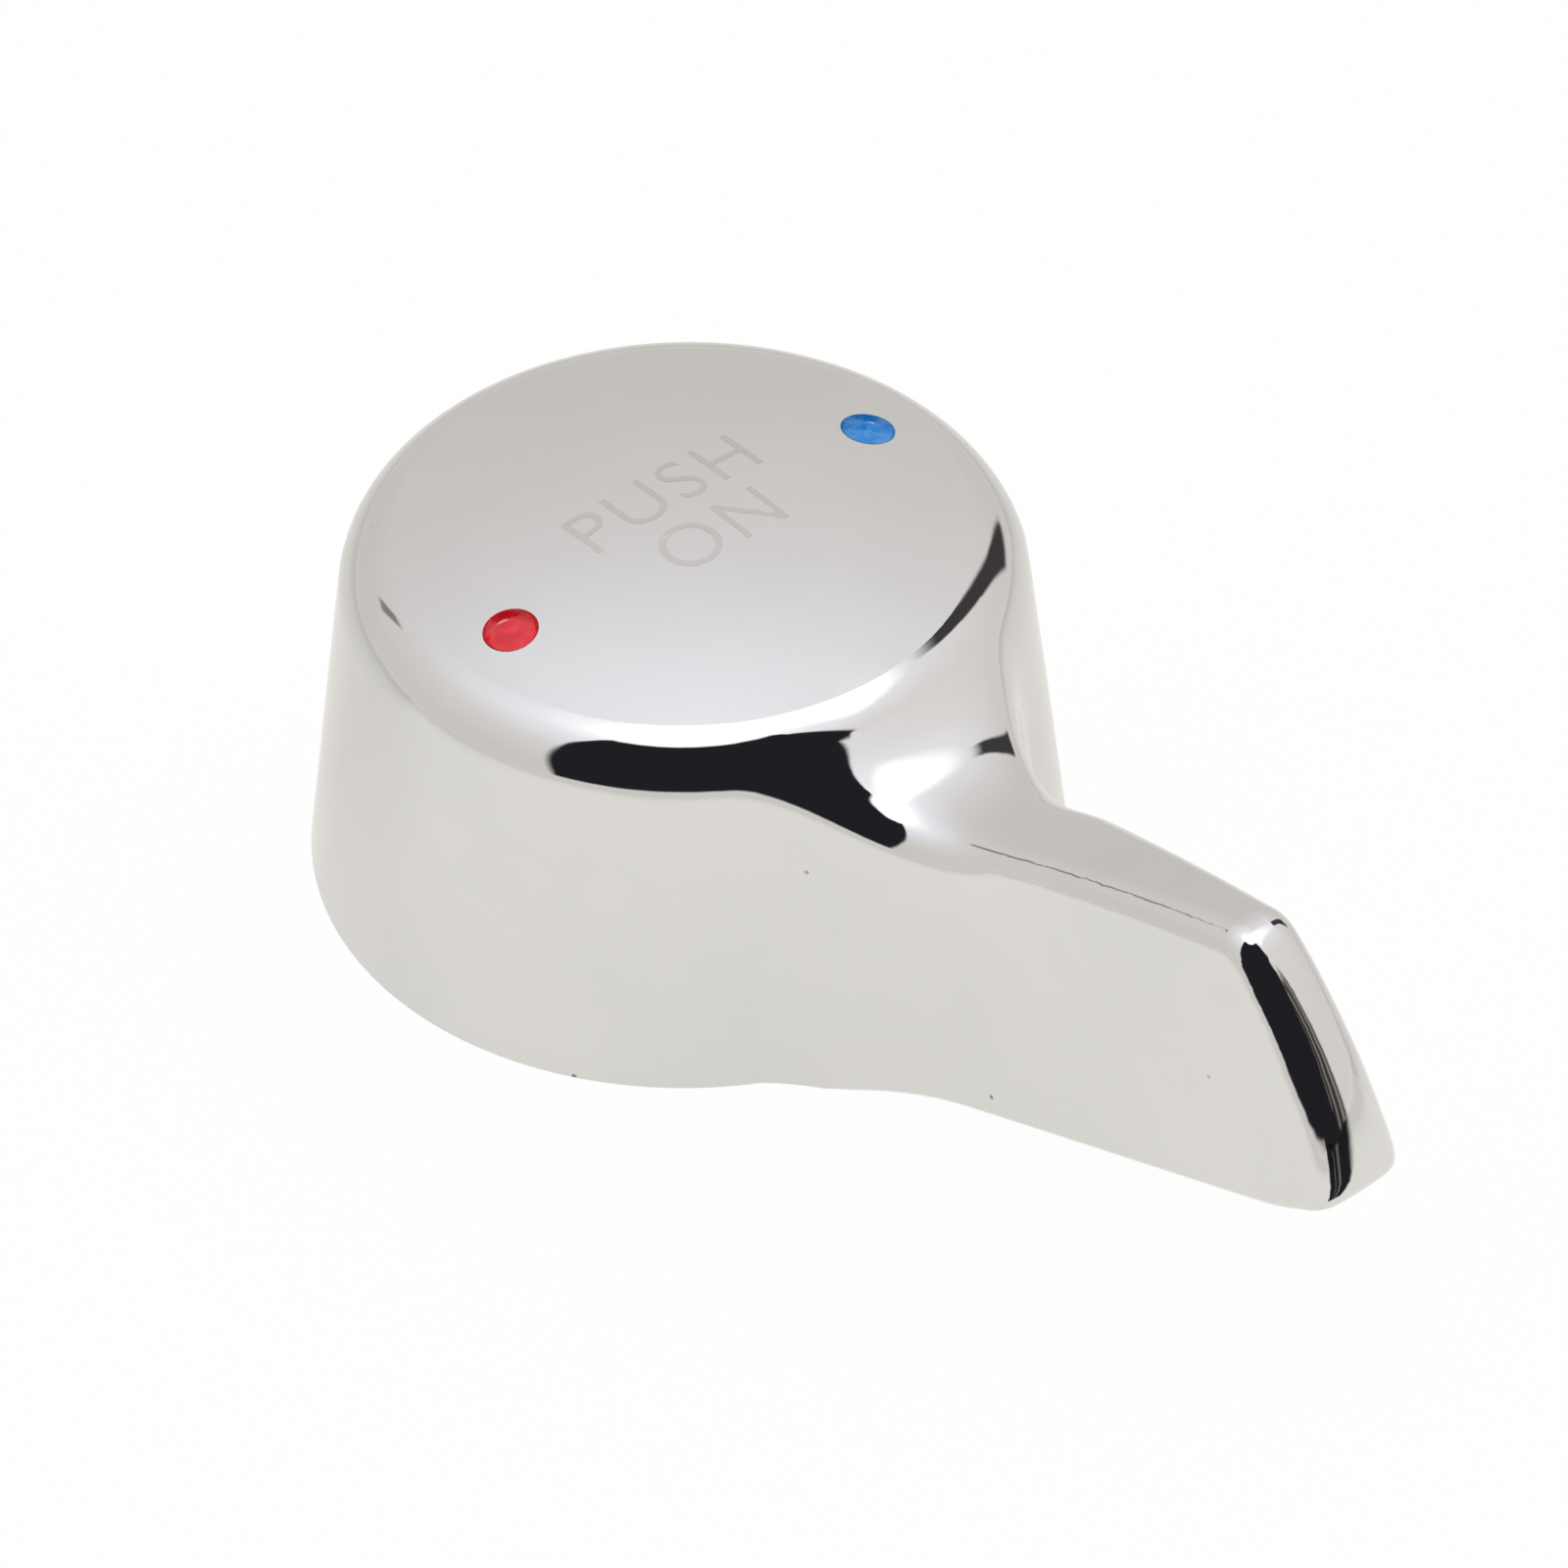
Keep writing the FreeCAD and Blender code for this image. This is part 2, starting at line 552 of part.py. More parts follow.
sized(crown_sketch, "above", "<crown_h> + 3 * <shoulder_r>", "DistanceY", -1, 1, c_right, 1, crown_top)
crown_mark = guide(crown_sketch, (0, crown_h), "crown_top", "0 * <rim_r>", "<crown_h>")
rule(crown_sketch, "PointOnObject", crown_mark, 1, c_arc)
crown = handle.newObject("PartDesign::Groove", "Crown")
crown.Profile = crown_sketch
crown.ReferenceAxis = (crown_sketch, ["Axis0"])
crown.Midplane = True
crown.Angle = 90.0
doc.recompute()

# Hollow underside: an even casting wall under a coned roof, with the stem boss left standing in the middle.
hollow = sketch_on(handle, "HollowSection", "XZ_Plane")
boss_r = size("boss_r")
boss_top_r = boss_r + size("boss_taper")
boss_z = size("boss_lift")
bore_r = size("stem_r") + size("stem_clear")
lead = size("lead_in")
roof_r = crown_r - wall
mouth_x = rim_r - wall + slope * wall
qa = slope ** 2 + 1
qb = -2 * slope * (rim_r - wall) - 2 * crown_c
qc = (rim_r - wall) ** 2 + crown_c ** 2 - roof_r ** 2
corner_z = (-qb + math.sqrt(qb ** 2 - 4 * qa * qc)) / (2 * qa)
corner_x = rim_r - wall - slope * corner_z
boss_top_z = crown_c + math.sqrt(roof_r ** 2 - boss_top_r ** 2)
h_low = line(hollow, (0, -wall), (-mouth_x, -wall))
h_wall = line(hollow, (-mouth_x, -wall), (-corner_x, corner_z))
h_roof = line(hollow, (-corner_x, corner_z), (-boss_top_r, boss_top_z))
h_ring = hollow.addGeometry(Part.Circle(Vector(0, crown_c, 0), Vector(0, 0, 1), roof_r), True)
h_boss = line(hollow, (-boss_top_r, boss_top_z), (-boss_r, boss_z))
h_face = line(hollow, (-boss_r, boss_z), (-(bore_r + lead), boss_z))
h_lead = line(hollow, (-(bore_r + lead), boss_z), (-bore_r, boss_z + lead))
h_deep = line(hollow, (-bore_r, boss_z + lead), (0, boss_z + lead))
h_axis = line(hollow, (0, boss_z + lead), (0, -wall))
rule(hollow, "Coincident", h_low, 2, h_wall, 1)
rule(hollow, "Coincident", h_wall, 2, h_roof, 1)
rule(hollow, "Coincident", h_roof, 2, h_boss, 1)
rule(hollow, "Coincident", h_boss, 2, h_face, 1)
rule(hollow, "Coincident", h_face, 2, h_lead, 1)
rule(hollow, "Coincident", h_lead, 2, h_deep, 1)
rule(hollow, "Coincident", h_deep, 2, h_axis, 1)
rule(hollow, "Coincident", h_axis, 2, h_low, 1)
rule(hollow, "PointOnObject", h_low, 1, -2)
rule(hollow, "PointOnObject", h_deep, 2, -2)
rule(hollow, "Horizontal", h_low)
rule(hollow, "Horizontal", h_face)
rule(hollow, "Horizontal", h_deep)
rule(hollow, "PointOnObject", h_ring, 3, -2)
rule(hollow, "PointOnObject", h_roof, 1, h_ring)
rule(hollow, "PointOnObject", h_roof, 2, h_ring)
sized(hollow, "below", "<wall>", "DistanceY", h_low, 1, -1, 1, wall)
sized(hollow, "mouth", "<rim_r> - <wall> + tan(<draft>) * <wall>", "DistanceX", h_low, 2, -1, 1, mouth_x)
hollow_mark = guide(hollow, (-(rim_r - wall - slope * crown_h), crown_h), "wall_aim",
                    "<rim_r> - <wall> - tan(<draft>) * <crown_h>", "<crown_h>", left=True)
rule(hollow, "PointOnObject", hollow_mark, 1, h_wall)
sized(hollow, "roof", "<crown_r> - <wall>", "Radius", h_ring, roof_r)
roof_mark = guide(hollow, (0, crown_h - wall), "roof_top", "0 * <wall>", "<crown_h> - <wall>")
rule(hollow, "PointOnObject", roof_mark, 1, h_ring)
sized(hollow, "boss_top", "<boss_r> + <boss_taper>", "DistanceX", h_boss, 1, -1, 1, boss_top_r)
sized(hollow, "boss_foot", "<boss_r>", "DistanceX", h_face, 1, -1, 1, boss_r)
sized(hollow, "boss_up", "<boss_lift>", "DistanceY", -1, 1, h_face, 1, boss_z)
sized(hollow, "lead_out", "<stem_r> + <stem_clear> + <lead_in>", "DistanceX", h_face, 2, -1, 1, bore_r + lead)
sized(hollow, "lead_to", "<stem_r> + <stem_clear>", "DistanceX", h_lead, 2, -1, 1, bore_r)
sized(hollow, "lead_up", "<lead_in>", "DistanceY", h_lead, 1, h_lead, 2, lead)
cavity = handle.newObject("PartDesign::Groove", "Hollow")
cavity.Profile = hollow
cavity.ReferenceAxis = (hollow, ["V_Axis"])
cavity.Angle = 360.0
doc.recompute()

# Slot that cores the lever from below, so the casting stays near one thickness.
core = sketch_on(handle, "LeverCore", "XZ_Plane")
core_x0 = rim_r + size("core_gap")
core_x1 = reach - size("core_back")
polygon(core, [
    (core_x0, -wall, "<rim_r> + <core_gap>", "-<wall>"),
    (core_x1, -wall, "<reach> - <core_back>", "-<wall>"),
    (core_x1, size("core_top_out"), "<reach> - <core_back>", "<core_top_out>"),
    (core_x0, size("core_top_in"), "<rim_r> + <core_gap>", "<core_top_in>"),
])
slot = handle.newObject("PartDesign::Pocket", "LeverSlot")
slot.Profile = core
slot.Midplane = True
slot.setExpression("Length", named("<core_w>"))
doc.recompute()

# Web behind the boss, from its lower edge up into the crown, that carries the grub screw's hole.
web = sketch_on(handle, "ScrewWeb", "XZ_Plane")
web_z = size("screw_h") - size("web_under")
bury = 0.75 * wall
web_in = bore_r + wall
web_roof_r = crown_r - bury
web_roof_z = crown_c + math.sqrt(web_roof_r ** 2 - web_in ** 2)
qb = -2 * slope * (rim_r - bury) - 2 * crown_c
qc = (rim_r - bury) ** 2 + crown_c ** 2 - web_roof_r ** 2
web_corner_z = (-qb + math.sqrt(qb ** 2 - 4 * qa * qc)) / (2 * qa)
web_corner_x = rim_r - bury - slope * web_corner_z
web_foot_x = rim_r - bury - slope * web_z
w_low = line(web, (-web_in, web_z), (-web_foot_x, web_z))
w_wall = line(web, (-web_foot_x, web_z), (-web_corner_x, web_corner_z))
w_roof = arc(web, (0, crown_c), (-web_in, web_roof_z), (-web_corner_x, web_corner_z))
w_boss = line(web, (-web_in, web_roof_z), (-web_in, web_z))
rule(web, "Coincident", w_low, 2, w_wall, 1)
rule(web, "Coincident", w_wall, 2, w_roof, 2)
rule(web, "Coincident", w_roof, 1, w_boss, 1)
rule(web, "Coincident", w_boss, 2, w_low, 1)
rule(web, "Horizontal", w_low)
rule(web, "Vertical", w_boss)
rule(web, "PointOnObject", w_roof, 3, -2)
sized(web, "web_low", "<screw_h> - <web_under>", "DistanceY", -1, 1, w_low, 1, web_z)
sized(web, "web_in", "<stem_r> + <stem_clear> + <wall>", "DistanceX", w_low, 1, -1, 1, web_in)
sized(web, "web_roof", "<crown_r> - 0.75 * <wall>", "Radius", w_roof, web_roof_r)
web_top = guide(web, (0, crown_h - bury), "roof_top", "0 * <wall>", "<crown_h> - 0.75 * <wall>")
rule(web, "PointOnObject", web_top, 1, w_roof)
web_aim = guide(web, (-(rim_r - bury - slope * crown_h), crown_h), "wall_aim",
                "<rim_r> - 0.75 * <wall> - tan(<draft>) * <crown_h>", "<crown_h>", left=True)
rule(web, "PointOnObject", web_aim, 1, w_wall)
web_foot = guide(web, (-(rim_r - bury), 0), "wall_foot", "<rim_r> - 0.75 * <wall>", "0 * <wall>", left=True)
rule(web, "PointOnObject", web_foot, 1, w_wall)
webbing = handle.newObject("PartDesign::Pad", "ScrewWebPad")
webbing.Profile = web
webbing.Midplane = True
webbing.setExpression("Length", named("<web_w>"))
doc.recompute()

# Stem socket: a round bore, closed at the top. The grub screw bears on a flat of the tap's stem.
socket = sketch_on(handle, "SocketOutline", "XY_Plane")
s_ring = socket.addGeometry(Part.Circle(Vector(0, 0, 0), Vector(0, 0, 1), bore_r), False)
rule(socket, "Coincident", s_ring, 3, -1, 1)
sized(socket, "bore", "<stem_r> + <stem_clear>", "Radius", s_ring, bore_r)
bore = handle.newObject("PartDesign::Pocket", "StemSocket")
bore.Profile = socket
bore.Reversed = True
bore.setExpression("Length", named("<boss_lift> + <socket_depth>"))
doc.recompute()

# One straight hole for the grub screw, from the socket out through the back of the drum.
hole_sketch = sketch_on(handle, "ScrewHole", "YZ_Plane")
ring = hole_sketch.addGeometry(Part.Circle(Vector(0, size("screw_h"), 0), Vector(0, 0, 1),
                                           size("screw_r") + size("screw_clear")), False)
rule(hole_sketch, "PointOnObject", ring, 3, -2)
sized(hole_sketch, "up", "<screw_h>", "DistanceY", -1, 1, ring, 3, size("screw_h"))
sized(hole_sketch, "radius", "<screw_r> + <screw_clear>", "Radius", ring, size("screw_r") + size("screw_clear"))
screw_hole = handle.newObject("PartDesign::Pocket", "ScrewHoleCut")
screw_hole.Profile = hole_sketch
screw_hole.setExpression("Length", named("2 * <rim_r>"))
doc.recompute()

# Two drilled recesses in the crown for the enamel.
MARK_FLOOR = ("(<crown_h> - <crown_r> + sqrt(<crown_r> ^ 2 - <mark_x> ^ 2 - <mark_y> ^ 2)"
              " - <mark_depth>)")
dots = sketch_on(handle, "MarkOutline", "XY_Plane")
lift(dots, MARK_FLOOR)
for name, sign in (("hot", -1), ("cold", 1)):
    dot = dots.addGeometry(Part.Circle(Vector(size("mark_x"), sign * size("mark_y"), 0), Vector(0, 0, 1),
                                       size("mark_r")), False)
    at_x(dots, name + "_x", dot, 3, size("mark_x"), "<mark_x>")
    at_y(dots, name + "_y", dot, 3, sign * size("mark_y"), "%s<mark_y>" % ("-" if sign < 0 else ""))
    sized(dots, name + "_r", "<mark_r>", "Radius", dot, size("mark_r"))
recess = handle.newObject("PartDesign::Pocket", "MarkRecess")
recess.Profile = dots
recess.Reversed = True
recess.setExpression("Length", named("<crown_h>"))
doc.recompute()
handle.Tip = recess


# Enamel marks: each fills its recess and stands a little proud, with the crown's own curve on top.
def enamel(label, sign):
    slug = doc.addObject("Part::Cylinder", label + "_slug")
    slug.setExpression("Radius", named("<mark_r> - <mark_clear>"))
    slug.setExpression("Height", named("<crown_h>"))
    slug.setExpression(".Placement.Base.x", named("<mark_x>"))
    slug.setExpression(".Placement.Base.y", named("%s<mark_y>" % ("-" if sign < 0 else "")))
    slug.setExpression(".Placement.Base.z", named(MARK_FLOOR))
    ball = doc.addObject("Part::Sphere", label + "_crown")
    ball.setExpression("Radius", named("<crown_r> + <mark_proud>"))
    ball.setExpression(".Placement.Base.z", named("<crown_h> - <crown_r>"))
    mark = doc.addObject("Part::Common", label)
    mark.Base = slug
    mark.Tool = ball
    mark.Label = label
    return mark


hot = enamel("hot_mark", -1)
cold = enamel("cold_mark", 1)

# Grub screw: plain shank, bevelled ends, hexagon socket facing the back of the drum.
screw = doc.addObject("PartDesign::Body", "set_screw")
shank_sketch = sketch_on(screw, "ShankOutline", "YZ_Plane")
lift(shank_sketch, "-(<stem_r> + <stem_clear> + <screw_gap> + <screw_len>)")
shank_ring = shank_sketch.addGeometry(Part.Circle(Vector(0, size("screw_h"), 0), Vector(0, 0, 1),
                                                  size("screw_r")), False)
rule(shank_sketch, "PointOnObject", shank_ring, 3, -2)
sized(shank_sketch, "up", "<screw_h>", "DistanceY", -1, 1, shank_ring, 3, size("screw_h"))
sized(shank_sketch, "radius", "<screw_r>", "Radius", shank_ring, size("screw_r"))
shank = screw.newObject("PartDesign::Pad", "Shank")
shank.Profile = shank_sketch
shank.setExpression("Length", named("<screw_len>"))
doc.recompute()
ends = edge_names(shank, lambda edge: edge.Curve.TypeId == "Part::GeomCircle")
bevel = screw.newObject("PartDesign::Chamfer", "Bevels")
bevel.Base = (shank, ends)
bevel.setExpression("Size", named("<screw_bevel>"))
doc.recompute()
hex_sketch = sketch_on(screw, "KeySocket", "YZ_Plane")
lift(hex_sketch, "-(<stem_r> + <stem_clear> + <screw_gap> + <screw_len>)")
key_r = size("hex_af") / math.sqrt(3)
corners = []
for index in range(6):
    turn = math.radians(60 * index + 30)
    corners.append((key_r * math.cos(turn), size("screw_h") + key_r * math.sin(turn)))
sides = []
for index in range(6):
    sides.append(line(hex_sketch, corners[index], corners[(index + 1) % 6]))
hub = hex_sketch.addGeometry(Part.Circle(Vector(0, size("screw_h"), 0), Vector(0, 0, 1), key_r), True)
for index in range(6):
    rule(hex_sketch, "Coincident", sides[index - 1], 2, sides[index], 1)
    rule(hex_sketch, "PointOnObject", sides[index], 1, hub)
for index in range(5):
    rule(hex_sketch, "Equal", sides[index], sides[index + 1])
rule(hex_sketch, "Vertical", sides[5])
rule(hex_sketch, "PointOnObject", hub, 3, -2)
sized(hex_sketch, "up", "<screw_h>", "DistanceY", -1, 1, hub, 3, size("screw_h"))
sized(hex_sketch, "key", "<hex_af> / sqrt(3)", "Radius", hub, key_r)
key = screw.newObject("PartDesign::Pocket", "KeySocketCut")
key.Profile = hex_sketch
key.Reversed = True
key.setExpression("Length", named("<hex_depth>"))
doc.recompute()

# Each piece must have come out whole before anything is written.
pieces = [("handle_body", handle), ("hot_mark", hot), ("cold_mark", cold), ("set_screw", screw)]
for item in doc.Objects:
    if "Invalid" in item.State or "Error" in item.State:
        raise RuntimeError("%s did not compute: %s" % (item.Name, item.State))
for label, item in pieces:
    shape = item.Shape
    if shape.isNull() or not shape.isValid() or len(shape.Solids) != 1:
        raise RuntimeError("%s is not one valid solid" % label)
os.makedirs("parts", exist_ok=True)
for label, item in pieces:
    item.Label = label
    item.Shape.exportStep("parts/%s.step" % label)
    box = item.Shape.BoundBox
    print("%-12s volume %.1f mm3, x %.2f..%.2f, y %.2f..%.2f, z %.2f..%.2f"
          % (label, item.Shape.Volume, box.XMin, box.XMax, box.YMin, box.YMax, box.ZMin, box.ZMax))
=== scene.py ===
import math

import bpy
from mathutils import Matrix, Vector, bvhtree, interpolate


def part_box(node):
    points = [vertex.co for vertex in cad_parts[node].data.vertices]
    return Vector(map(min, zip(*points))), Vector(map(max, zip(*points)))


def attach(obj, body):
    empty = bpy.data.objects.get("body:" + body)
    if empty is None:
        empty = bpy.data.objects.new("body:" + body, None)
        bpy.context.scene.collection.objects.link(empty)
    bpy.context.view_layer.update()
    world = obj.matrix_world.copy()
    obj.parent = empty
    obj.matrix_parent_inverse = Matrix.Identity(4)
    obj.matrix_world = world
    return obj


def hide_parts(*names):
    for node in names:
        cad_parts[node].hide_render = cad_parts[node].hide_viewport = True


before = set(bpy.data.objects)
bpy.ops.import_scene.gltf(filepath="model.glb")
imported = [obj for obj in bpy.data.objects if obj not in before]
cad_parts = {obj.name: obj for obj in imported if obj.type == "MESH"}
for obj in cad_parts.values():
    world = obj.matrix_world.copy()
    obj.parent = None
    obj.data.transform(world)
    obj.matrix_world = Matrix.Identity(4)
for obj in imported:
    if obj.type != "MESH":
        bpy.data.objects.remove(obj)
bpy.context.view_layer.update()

# Handle body: a hollow zinc die-casting of drum and lever in one piece, polished and chrome plated.
# The polishing wheel runs the saddle between drum and lever together into one soft curve.
# The plating is bright outside; inside the hollow it is thin and dull over the cast skin.


def linear(code, alpha=1.0):
    """An sRGB hex colour as the linear RGBA that Blender's sockets take."""
    channels = [int(code[i:i + 2], 16) / 255 for i in (1, 3, 5)]
    return [c / 12.92 if c <= 0.04045 else ((c + 0.055) / 1.055) ** 2.4 for c in channels] + [alpha]


def node(tree, kind, inputs=None, **settings):
    """Adds a node, sets its options, and fills or links its inputs."""
    made = tree.nodes.new(kind)
    for name, value in settings.items():
        setattr(made, name, value)
    for name, value in (inputs or {}).items():
        if isinstance(value, bpy.types.NodeSocket):
            tree.links.new(value, made.inputs[name])
        else:
            made.inputs[name].default_value = value
    return made


def fresh_tree(material):
    """An empty node tree and its output node."""
    material.use_nodes = True
    material.node_tree.nodes.clear()
    return material.node_tree, material.node_tree.nodes.new("ShaderNodeOutputMaterial")


WALL_DRAFT = math.tan(math.radians(6.84))
INSIDE_R = 0.0228
INSIDE_BLEND = 0.0003
INSIDE_TOP = 0.0249

# Patterns, counted in a metre: smudges 14 mm apart, swells 18 mm, cast grains 1.1 mm and pits 4.5 mm,
# of which only a few are there. The grains are drawn coarser than they are, so that they show.
SMUDGES, SWELLS, GRAINS, PITS = 70.0, 55.0, 900.0, 220.0
PITS_LEFT_OUT = 0.72
POLISHED, SMUDGED, AS_CAST = 0.025, 0.07, 0.38

# Chrome: a near mirror with a cool grey body, faint polishing swell, hazy finger smudges and a few
# tiny dark pits; inside the hollow the same metal is grey, satin and sandy.
chrome = bpy.data.materials.new("chrome_plate")
tree, output = fresh_tree(chrome)
place = node(tree, "ShaderNodeTexCoord").outputs["Object"]
smudge = node(tree, "ShaderNodeTexNoise", {"Vector": place, "Scale": SMUDGES, "Detail": 4.0,
                                           "Roughness": 0.6})
grain = node(tree, "ShaderNodeTexNoise", {"Vector": place, "Scale": GRAINS, "Detail": 3.0, "Roughness": 0.55})
swell = node(tree, "ShaderNodeTexNoise", {"Vector": place, "Scale": SWELLS, "Detail": 1.0, "Roughness": 0.4})
pit = node(tree, "ShaderNodeTexVoronoi", {"Vector": place, "Scale": PITS, "Randomness": 1.0})
spot = node(tree, "ShaderNodeMapRange", {"Value": pit.outputs["Distance"], "From Min": 0.02,
                                         "From Max": 0.05, "To Min": 1.0, "To Max": 0.0})
rare = node(tree, "ShaderNodeSeparateColor", {"Color": pit.outputs["Color"]})
chosen = node(tree, "ShaderNodeMath", {0: rare.outputs["Red"], 1: PITS_LEFT_OUT}, operation="GREATER_THAN")
pits = node(tree, "ShaderNodeMath", {0: spot.outputs["Result"], 1: chosen.outputs["Value"]},
            operation="MULTIPLY")

axes = node(tree, "ShaderNodeSeparateXYZ", {"Vector": place})
flat = node(tree, "ShaderNodeCombineXYZ", {"X": axes.outputs["X"], "Y": axes.outputs["Y"]})
radius = node(tree, "ShaderNodeVectorMath", {0: flat.outputs["Vector"]}, operation="LENGTH")
coned = node(tree, "ShaderNodeMath", {0: axes.outputs["Z"], 1: WALL_DRAFT, 2: radius.outputs["Value"]},
             operation="MULTIPLY_ADD")
within = node(tree, "ShaderNodeMapRange", {"Value": coned.outputs["Value"], "To Min": 1.0, "To Max": 0.0,
                                           "From Min": INSIDE_R - INSIDE_BLEND,
                                           "From Max": INSIDE_R + INSIDE_BLEND})
below = node(tree, "ShaderNodeMath", {0: axes.outputs["Z"], 1: INSIDE_TOP}, operation="LESS_THAN")
inside = node(tree, "ShaderNodeMath", {0: within.outputs["Result"], 1: below.outputs["Value"]},
              operation="MULTIPLY")

hazed = node(tree, "ShaderNodeMapRange", {"Value": smudge.outputs["Fac"], "From Min": 0.35, "From Max": 0.75,
                                          "To Min": POLISHED, "To Max": SMUDGED})
rough = node(tree, "ShaderNodeMix", {"Factor": inside.outputs["Value"], "A": hazed.outputs["Result"],
                                     "B": AS_CAST})
plate = node(tree, "ShaderNodeMix", {"Factor": smudge.outputs["Fac"], "A": linear("#DEDEDD"),
                                     "B": linear("#D3D4D5")}, data_type="RGBA")
pitted = node(tree, "ShaderNodeMix", {"Factor": pits.outputs["Value"], "A": plate.outputs["Result"],
                                      "B": linear("#85827F")}, data_type="RGBA")
metal = node(tree, "ShaderNodeMix", {"Factor": inside.outputs["Value"], "A": pitted.outputs["Result"],
                                     "B": linear("#A9A8A4")}, data_type="RGBA")
sand = node(tree, "ShaderNodeMath", {0: grain.outputs["Fac"], 1: inside.outputs["Value"]},
            operation="MULTIPLY")
grit = node(tree, "ShaderNodeBump", {"Height": sand.outputs["Value"], "Strength": 0.6, "Distance": 0.00015})
wave = node(tree, "ShaderNodeBump", {"Height": swell.outputs["Fac"], "Strength": 0.05, "Distance": 0.0004,
                                     "Normal": grit.outputs["Normal"]})
surface = node(tree, "ShaderNodeBsdfPrincipled", {"Base Color": metal.outputs["Result"], "Metallic": 1.0,
                                                  "Roughness": rough.outputs["Result"],
                                                  "Normal": wave.outputs["Normal"]})
tree.links.new(surface.outputs["BSDF"], output.inputs["Surface"])

# The casting's own mesh, merged, with finer faces round the saddle and at the lever's nose.
MERGE = 0.000001
SADDLE_EDGE, HALVINGS = 0.0009, 4
SADDLE_FROM_X, SADDLE_FULL_X = 0.011, 0.016
SADDLE_LAST_X, SADDLE_GONE_X = 0.031, 0.037
SADDLE_FROM_Z, SADDLE_FULL_Z = 0.0125, 0.017
OUTSIDE_R = 0.0240
NOSE_FROM_X, NOSE_FULL_X = 0.0575, 0.0635
NOSE_SLANT, NOSE_FOOT_Z = 0.35, 0.014
NOSE_MARGIN = 0.005
UP_FACING, NOT_DOWN_FACING, NOT_IN_FACING = 0.5, -0.3, -0.35
bpy.ops.object.select_all(action="DESELECT")
body = bpy.data.objects.new("cast_body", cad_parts["handle_body"].data.copy())
bpy.context.scene.collection.objects.link(body)
bpy.context.view_layer.objects.active = body
body.select_set(True)
bpy.ops.object.mode_set(mode="EDIT")
bpy.ops.mesh.select_all(action="SELECT")
bpy.ops.mesh.remove_doubles(threshold=MERGE)
bpy.ops.mesh.customdata_custom_splitnormals_clear()
bpy.ops.mesh.mark_sharp(clear=True)
bpy.ops.mesh.select_mode(type="EDGE")
for _ in range(HALVINGS):
    bpy.ops.mesh.select_all(action="DESELECT")
    bpy.ops.object.mode_set(mode="OBJECT")
    for edge in body.data.edges:
        first, last = [body.data.vertices[v].co for v in edge.vertices]
        middle = (first + last) / 2
        round_saddle = (SADDLE_FROM_X < middle.x < SADDLE_GONE_X and middle.z > SADDLE_FROM_Z
                        and middle.xy.length + middle.z * WALL_DRAFT > OUTSIDE_R)
        at_nose = middle.x > NOSE_FROM_X - NOSE_MARGIN
        edge.select = (first - last).length > SADDLE_EDGE and (round_saddle or at_nose)
    bpy.ops.object.mode_set(mode="EDIT")
    bpy.ops.mesh.subdivide(number_cuts=1)
bpy.ops.mesh.select_all(action="SELECT")
bpy.ops.mesh.quads_convert_to_tris()
bpy.ops.object.mode_set(mode="OBJECT")


def ease(low, high, value):
    """0 below low, 1 above high, and a smooth run between."""
    share = min(max((value - low) / (high - low), 0.0), 1.0)
    return share * share * (3 - 2 * share)


shares = {"nose": [], "saddle": []}
for vertex in body.data.vertices:
    x, y, z = vertex.co
    reach = math.hypot(x, y)
    outward = (vertex.normal.x * x + vertex.normal.y * y) / max(reach, MERGE)
    faces_out = outward > NOT_IN_FACING or vertex.normal.z > UP_FACING
    outer = vertex.normal.z > NOT_DOWN_FACING and reach + z * WALL_DRAFT > OUTSIDE_R and faces_out
    along = ease(SADDLE_FROM_X, SADDLE_FULL_X, x) * ease(SADDLE_GONE_X, SADDLE_LAST_X, x)
    shares["nose"].append(ease(NOSE_FROM_X, NOSE_FULL_X, x + NOSE_SLANT * (z - NOSE_FOOT_Z)))
    shares["saddle"].append(outer * along * ease(SADDLE_FROM_Z, SADDLE_FULL_Z, z))
for place_name, weights in shares.items():
    group = body.vertex_groups.new(name=place_name)
    for index, share in enumerate(weights):
        if share > 0:
            group.add([index], share, "REPLACE")

# How the casting's true surface leans at each corner, so that the mirror finish stays even.
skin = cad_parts["handle_body"].data
skin_tree = bvhtree.BVHTree.FromPolygons([v.co for v in skin.vertices], [p.vertices for p in skin.polygons])
leans = [corner.vector.copy() for corner in skin.corner_normals]
slants = []
for polygon in body.data.polygons:
    parent = skin.polygons[skin_tree.find_nearest(polygon.center)[2]]
    around = [skin.vertices[v].co for v in parent.vertices]
    for v in polygon.vertices:
        parts = interpolate.poly_3d_calc(around, body.data.vertices[v].co)
        lean = sum((part * leans[corner] for part, corner in zip(parts, parent.loop_indices)), Vector())
        slants.append(lean.normalized())

